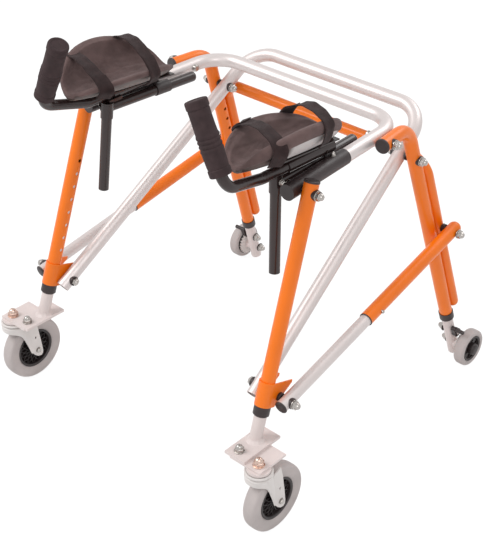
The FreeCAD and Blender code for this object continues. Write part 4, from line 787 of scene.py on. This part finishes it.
def pad_loop(share):
    """Closed section of the lining: over one rim, across the inside and over the other rim."""
    spread = math.sqrt(max(0.02, 1 - share * share))
    size = min(1.0, spread * 1.5)
    turn = size / (TROUGH_RADIUS * spread)
    outer = [(OUTER_ANGLE + reach * turn * 0.9, depth * size * 0.86) for reach, depth in RIM_ROLL]
    inner = [(INNER_ANGLE - reach * turn * 0.42, depth * size * 0.5)
             for reach, depth in reversed(RIM_ROLL)]

    def between(start, end, depth, steps=22):
        return [(start + (end - start) * step / steps, depth) for step in range(1, steps)]

    loop = (outer + between(outer[-1][0], inner[0][0], LINING_FACE)
            + inner + between(inner[-1][0], outer[0][0], LINING_BACK))
    return [trough_point(share, angle, depth) for angle, depth in loop]


def pad_shape():
    """Lining with soft rounded ends."""
    steps = 40
    turns = [math.pi * (step / steps - 0.5) for step in range(steps + 1)]
    return skin([pad_loop(LINING_REACH * math.sin(turn)) for turn in turns])


def strap_tail(y, rim_angle, length, steps):
    """Points of a strap down the trough's wall, from the rim to the tail's foot."""
    share = limited(trough_share(y), 0.93)
    radius = TROUGH_RADIUS * math.sqrt(1 - share ** 2)
    return [trough_point(share, rim_angle + length * step / steps / radius, STRAP_DEPTH)
            for step in range(steps + 1)]


def strap_path(inner_y, outer_y, crest):
    """Centre points of a strap from the foot of its inner tail to the foot of its outer tail."""
    inner = strap_tail(inner_y, INNER_ANGLE, INNER_TAIL, 8)[::-1]
    outer = strap_tail(outer_y, OUTER_ANGLE, -OUTER_TAIL, 10)
    start, end = inner[-1], outer[0]
    crest = crest - TROUGH_PITCH * ((inner_y + outer_y) / 2 - TROUGH_MIDDLE.y)
    rise = crest - (start.z + end.z) / 2
    arch = []
    for step in range(1, 24):
        turn = step / 24
        spot = start.lerp(end, turn)
        spot.z = spot.z + rise * math.sin(math.pi * turn) ** 0.72
        arch.append(spot)
    return inner + arch + outer


def strap_skin(path, width, thickness):
    """Woven strap along a path, its width along the trough, slightly curled across."""
    curl, half = 0.0012, width / 2
    edge, quarter = half * 0.96, half * 0.5
    section = [(-half, -0.35), (-half, 0.35), (-edge, 0.5), (-quarter, 0.5), (0, 0.5),
               (quarter, 0.5), (edge, 0.5), (half, 0.35), (half, -0.35), (edge, -0.5),
               (quarter, -0.5), (0, -0.5), (-quarter, -0.5), (-edge, -0.5)]
    loops = []
    smooth = path
    for _ in range(3):
        smooth = [smooth[0]] + [
            before * 0.25 + here * 0.5 + after * 0.25
            for before, here, after in zip(smooth, smooth[1:], smooth[2:])] + [smooth[-1]]
    lengths = [0.0]
    for before, here in zip(smooth, smooth[1:]):
        lengths.append(lengths[-1] + (here - before).length)
    for index, spot in enumerate(smooth):
        before, after = smooth[max(0, index - 1)], smooth[min(len(smooth) - 1, index + 1)]
        ahead = (after - before).normalized()
        share = limited(trough_share(spot.y), 0.9)
        narrowing = (TROUGH_MIDDLE.x - spot.x) * share / (TROUGH_HALF_LENGTH * (1 - share ** 2))
        across = Vector((limited(narrowing, 0.6), 1, -TROUGH_PITCH))
        across = across - ahead * across.dot(ahead)
        across.normalize()
        outward = across.cross(ahead).normalized()
        length = lengths[index]
        ripple = 0.0005 * math.sin(length * 210) + 0.0004 * math.sin(length * 97 + 1)
        loop = []
        for reach, level in section:
            lift = level * thickness - curl * (reach / half) ** 2 + ripple
            loop.append(spot + across * reach + outward * lift)
        loops.append(loop)
    return skin(loops)


def trough_depth(point):
    """Depth of a point inside the trough's skin."""
    share = trough_share(point.y)
    spread = math.sqrt(max(0.01, 1 - share * share))
    along = share * TROUGH_HALF_LENGTH
    low = TROUGH_MIDDLE.z - along * TROUGH_PITCH
    away = math.hypot(point.x - TROUGH_MIDDLE.x - TROUGH_CENTRE[0] * spread,
                      point.z - low - TROUGH_CENTRE[1] * spread)
    return TROUGH_RADIUS * spread - away


def plumped(shape):
    """Lining remeshed and swelled by a short cloth run, its back held and its movement capped."""
    mesh = bpy.data.meshes.new("lining_start")
    mesh.from_pydata([tuple(point) for point in shape[0]], [], shape[1])
    thing = bpy.data.objects.new("lining_start", mesh)
    bpy.context.collection.objects.link(thing)
    remesh = thing.modifiers.new("remesh", "REMESH")
    remesh.mode, remesh.voxel_size = "VOXEL", VOXEL
    graph = bpy.context.evaluated_depsgraph_get()
    fine = bpy.data.meshes.new_from_object(thing.evaluated_get(graph))
    thing.modifiers.clear()
    thing.data = fine
    start = [vertex.co.copy() for vertex in fine.vertices]
    held = thing.vertex_groups.new(name="held")
    backed = [index for index, spot in enumerate(start) if trough_depth(spot) < HELD_DEPTH]
    held.add(backed, 1.0, "REPLACE")
    cloth = thing.modifiers.new("cloth", "CLOTH")
    cloth.settings.use_pressure = True
    cloth.settings.uniform_pressure_force = CLOTH_PRESSURE
    cloth.settings.effector_weights.gravity = 0.0
    cloth.settings.vertex_group_mass = "held"
    scene = bpy.context.scene
    for number in range(CLOTH_FRAMES):
        scene.frame_set(number + 1)
    graph = bpy.context.evaluated_depsgraph_get()
    swelled = bpy.data.meshes.new_from_object(thing.evaluated_get(graph))
    points = []
    for before, vertex in zip(start, swelled.vertices):
        move = vertex.co - before
        if move.length > MOST_SWELL:
            move = move.normalized() * MOST_SWELL
        points.append(before + move)
    faces = [tuple(polygon.vertices) for polygon in swelled.polygons]
    scene.frame_set(1)
    bpy.data.objects.remove(thing)
    return points, faces


def linings():
    """Dark foam linings rolled over both rims of the forearm troughs."""
    shape = pad_shape()
    shape = plumped(shape)
    for thing in add_pair("trough_lining", shape, "lining", "platform", "trough_pad"):
        rounding = thing.modifiers.new("rounding", "SUBSURF")
        rounding.levels = rounding.render_levels = 1


def lifted(path, height=0.0018, curl=0.0005):
    """Path moved away from the trough, a little more at its last points."""
    moved = []
    for index, spot in enumerate(path):
        before, after = path[max(0, index - 1)], path[min(len(path) - 1, index + 1)]
        away = (after - before).normalized().cross(Vector((0, 1, 0))).normalized()
        curled = max(0, index - len(path) + 4) / 3
        moved.append(spot + away * (height + curl * curled))
    return moved


def straps():
    """Woven straps over both platforms, with a sewn overlap on the inner wall."""
    for side in SIDES:
        for label, run in zip(("front", "rear"), STRAP_RUNS[side]):
            path = strap_path(*run)
            shapes = {"strap": strap_skin(path, 0.0255, 0.0019),
                      "strap_patch": strap_skin(lifted(path[1:14]), 0.0250, 0.0016)}
            for kind, shape in shapes.items():
                thing = add_mesh(f"{kind}_{label}_{side}", *on_side(shape, side), "strap_fabric",
                                 f"platform_{side}")
                if kind == "strap":
                    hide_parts(f"straps_{side}")


# ---------------------------------------------------------------------------
# Small fittings
# ---------------------------------------------------------------------------
# Where the fittings sit on the right-hand side: the ends of bolts, screws and tubes.
RAIL_BOLTS = ((0.2748, -0.1478, 0.569), (0.2617, 0.0737, 0.569))
FRAME_BOLTS = ((0.2571, 0.1622, 0.5012), (0.2983, 0.2433, 0.3330))
FRAME_BOLT_INNER_END = (0.1960, 0.1622, 0.5012)
FOOT_BOLT, KINGPIN = (0.2723, -0.3263, 0.1600), (0.3155, -0.3263, 0.1550)
REAR_STEM_BOLTS = ((0.2556, 0.3009, 0.0723), (0.2570, 0.3164, 0.0380))
COLLAR_SCREWS = (((0.2112, -0.1600, 0.5745), 0.62), ((0.2112, -0.1560, 0.5610), 0.5))
GUIDE_SCREW = (0.2240, -0.0470, 0.5828)
STEM_FOOT = Vector((0.27229, -0.28690, 0.1600))
STEM_LEAN = Vector((-0.0296, 0.3219, 0.9463)) / 0.9463
BUSH_PLACE = (0.2870, -0.2423, 0.2320)
BRACE_REAR = Vector((0.2830, 0.2433, 0.3330))
BRACE_FRONT = Vector((0.3030, -0.2423, 0.2320))
BRACE_FORWARD = (BRACE_FRONT - BRACE_REAR).normalized()
BRACE_OVERRUN, BRACE_SLEEVE = 0.016, 0.273


def acorn(place, axis, scale=1.0):
    """Flanged acorn nut: washer, hexagon and tall dome."""
    axis = Vector(axis).normalized()
    foot = Vector(place)
    flange = washer(foot, axis, 0.0088 * scale, 0.0014 * scale)
    corners = hexagon(foot + axis * 0.0013 * scale, axis, 0.0138 * scale)
    dome = [(0.0064, 0.0066), (0.0061, 0.0078), (0.0057, 0.0092), (0.0050, 0.0108),
            (0.0036, 0.0121), (0.0018, 0.0128), (0.0, 0.0130)]
    cap = lathe([(radius * scale, reach * scale) for radius, reach in dome], foot, axis, 36)
    return joined(flange, prism(corners, axis * 0.0058 * scale), cap)


def nuts():
    """Nuts with tall domes over the plain ones."""
    add_pair("rail_nuts", joined(*[acorn(place, OUTWARD) for place in RAIL_BOLTS]), "zinc", "rail")
    add_pair("frame_nuts", joined(*[acorn(place, OUTWARD) for place in FRAME_BOLTS],
                                  acorn(FRAME_BOLT_INNER_END, INWARD)), "zinc", "rear_frame")
    add_pair("foot_nuts", acorn(FOOT_BOLT, UP, 1.05), "zinc", "stem")
    add_pair("king_nuts", acorn(KINGPIN, UP, 1.22), "warm_zinc", "stem")


def stem_nuts():
    """Nuts with black washers on the inner ends of the axle and pawl bolts of the rear stems."""
    disc = 0.0022
    discs = [washer(place, INWARD, 0.0092, disc) for place in REAR_STEM_BOLTS]
    ends = [acorn(Vector(place) + Vector(INWARD) * disc, INWARD, 0.95) for place in REAR_STEM_BOLTS]
    add_pair("stem_washers", joined(*discs), "black_plastic", "extension")
    add_pair("stem_nuts", joined(*ends), "zinc", "extension")


def brace_tips():
    """Black plug, black saddle washer and bright nut at each brace's front end."""
    tip = BRACE_FRONT + BRACE_FORWARD * BRACE_OVERRUN
    plug = soften([(0.0, 0.0), (0.0116, 0.0), (0.0119, 0.0010), (0.0112, 0.0024),
                   (0.0085, 0.0036), (0.0, 0.0041)], 0.0006)
    add_pair("brace_plug", lathe(plug, tip, BRACE_FORWARD, 48), "black_plastic", "brace_strut",
             "brace_end")
    height = 0.0137
    saddle = soften([(0.0, 0.0065), (0.0094, 0.0065), (0.0096, 0.0120), (0.0088, 0.0136),
                     (0.0, height)], 0.0008)
    add_pair("brace_saddle", lathe(saddle, BRACE_FRONT, OUTWARD, 48), "black_plastic",
             "brace_strut")
    add_pair("brace_nut", acorn(BRACE_FRONT + Vector(OUTWARD) * height, OUTWARD), "zinc",
             "brace_strut")


def sleeve_mouth_shades():
    """Painted shade: a dark ring at the open end of each brace sleeve, standing for the shadow in
    the gap round the inner tube.
    """
    mouth = BRACE_REAR + BRACE_FORWARD * BRACE_SLEEVE
    ring = [(0.0112, -0.0004), (0.0128, -0.0004), (0.0128, 0.0007), (0.0112, 0.0007),
            (0.0112, -0.0004)]
    add_pair("sleeve_mouth_shade", lathe(ring, mouth, BRACE_FORWARD, 48), "dark_gap", "brace_sleeve")


def clamp_screws():
    """Small bright clamp screws on the post collars and on the sleeves behind them."""
    collar = [acorn(place, OUTWARD, scale) for place, scale in COLLAR_SCREWS]
    add_pair("collar_screw", joined(*collar), "zinc", "support")
    add_pair("guide_screw", acorn(GUIDE_SCREW, UP, 0.55), "zinc", "rail")


def stem_welds():
    """Rounded weld where each front stem meets its foot plate."""
    bead = [(0.0166, 0.0), (0.0160, 0.0007), (0.0142, 0.0014), (0.0126, 0.0028),
            (0.0117, 0.0050), (0.0113, 0.0072)]

    def ragged(radius, _, angle):
        return radius + 0.00025 * math.sin(angle * 11) + 0.0002 * math.sin(angle * 23 + 1)

    points, faces = lathe(bead, (0, 0, 0), UP, wobble=ragged)
    leaned = [STEM_FOOT + Vector((point.x, point.y, 0)) + STEM_LEAN * point.z for point in points]
    add_pair("stem_weld", (leaned, faces), "grey_paint", "stem")


def brace_bushes():
    """Soft bushes between the front brackets and the brace tubes."""
    profile = soften([(0.0045, 0.0), (0.0078, 0.0), (0.0082, 0.0022), (0.0078, 0.0044),
                      (0.0045, 0.0044)], 0.0006)
    pair = add_pair("brace_bush", lathe(profile, BUSH_PLACE, OUTWARD, 48), "black_plastic", "leg")
    for thing, side, sign in zip(pair, SIDES, (1, -1)):
        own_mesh(thing)


tyres()
front_hubs()
rear_hubs()
ratchet_rings()
forks()
grips()
linings()
straps()
nuts()
stem_nuts()
brace_tips()
sleeve_mouth_shades()
clamp_screws()
stem_welds()
brace_bushes()


# ---------------------------------------------------------------------------
# Floor, light and camera
# ---------------------------------------------------------------------------
def seen_directly(tree):
    """1 for camera, glossy and transmission rays, 0 for the rays that light the object."""
    path = tree.nodes.new("ShaderNodeLightPath")
    seen = path.outputs["Is Camera Ray"]
    for ray in ("Is Glossy Ray", "Is Transmission Ray"):
        larger = tree.nodes.new("ShaderNodeMath")
        larger.operation = "MAXIMUM"
        tree.links.new(seen, larger.inputs[0])
        tree.links.new(path.outputs[ray], larger.inputs[1])
        seen = larger.outputs[0]
    return seen


def grey(value):
    """Neutral colour."""
    return (value, value, value, 1)


def studio():
    """White to the eye, softer as light on the object, with three square lamps."""
    world = bpy.data.worlds.new("studio")
    bpy.context.scene.world = world
    world.use_nodes = True
    tree = world.node_tree
    background = tree.nodes["Background"]
    strength = tree.nodes.new("ShaderNodeMapRange")
    strength.inputs["To Min"].default_value = 0.55
    strength.inputs["To Max"].default_value = 1.0
    tree.links.new(seen_directly(tree), strength.inputs["Value"])
    background.inputs[0].default_value = grey(1)
    tree.links.new(strength.outputs[0], background.inputs[1])

    lamps = (
        ("key", (-1.6, -1.7, 2.6), 1.5, 52),
        ("fill", (1.9, -1.3, 2.0), 1.6, 18),
        ("rim", (0.4, 2.2, 2.4), 1.4, 22),
    )
    target = Vector((0, 0, 0.35))
    for name, place, side, power in lamps:
        light = bpy.data.lights.new(name, "AREA")
        light.shape = "SQUARE"
        light.size = side
        light.energy = power
        lamp = bpy.data.objects.new(name, light)
        bpy.context.collection.objects.link(lamp)
        lamp.location = place
        lamp.rotation_euler = (target - lamp.location).to_track_quat("-Z", "Y").to_euler()


def floor():
    """Pale floor; a wheel lowered through it by an extended leg still shows faintly."""
    mesh = bpy.data.meshes.new("floor")
    half = 6.0
    mesh.from_pydata([(-half, -half, 0), (half, -half, 0), (half, half, 0), (-half, half, 0)],
                     [], [(0, 1, 2, 3)])
    thing = bpy.data.objects.new("floor", mesh)
    bpy.context.collection.objects.link(thing)
    material = bpy.data.materials.new("floor")
    material.use_nodes = True
    tree = material.node_tree
    tree.nodes.clear()
    add = tree.nodes.new
    output = add("ShaderNodeOutputMaterial")
    lit, shadowed = add("ShaderNodeBsdfDiffuse"), add("ShaderNodeBsdfDiffuse")
    glow, clear = add("ShaderNodeEmission"), add("ShaderNodeBsdfTransparent")
    surface, faint, mix = (add(f"ShaderNode{kind}Shader") for kind in ("Add", "Mix", "Mix"))
    lit.inputs[0].default_value = grey(0.8)
    shadowed.inputs[0].default_value = grey(0.5)
    glow.inputs[0].default_value = grey(0.72)
    faint.inputs[0].default_value = 0.4
    for source, target in (
            (shadowed.outputs[0], surface.inputs[0]), (glow.outputs[0], surface.inputs[1]),
            (clear.outputs[0], faint.inputs[1]), (surface.outputs[0], faint.inputs[2]),
            (seen_directly(tree), mix.inputs[0]), (lit.outputs[0], mix.inputs[1]),
            (faint.outputs[0], mix.inputs[2]),
            (mix.outputs[0], output.inputs[0])):
        tree.links.new(source, target)
    mesh.materials.append(material)


CAMERA_PLACE = (1.3362, -1.4772, 1.5343)
CAMERA_TURNS = (42.07, 32.97, 0.13)


def camera():
    """Camera at the photograph's angle, looking down and to the left, with hardly any roll."""
    data = bpy.data.cameras.new("camera")
    data.lens = 83.7
    data.sensor_width = 36.0
    data.clip_end = 50
    thing = bpy.data.objects.new("camera", data)
    bpy.context.collection.objects.link(thing)
    azimuth, tilt, roll = (math.radians(turn) for turn in CAMERA_TURNS)
    forward = Vector((-math.sin(azimuth) * math.cos(tilt), math.cos(azimuth) * math.cos(tilt),
                      -math.sin(tilt)))
    right = Vector((math.cos(azimuth), math.sin(azimuth), 0))
    up = right.cross(forward)
    side = right * math.cos(roll) + up * math.sin(roll)
    top = -right * math.sin(roll) + up * math.cos(roll)
    rows = zip(side, top, -forward, CAMERA_PLACE)
    thing.matrix_world = Matrix((*rows, (0, 0, 0, 1)))
    bpy.context.scene.camera = thing


studio()
floor()
camera()
bpy.context.scene.view_settings.view_transform = "Standard"
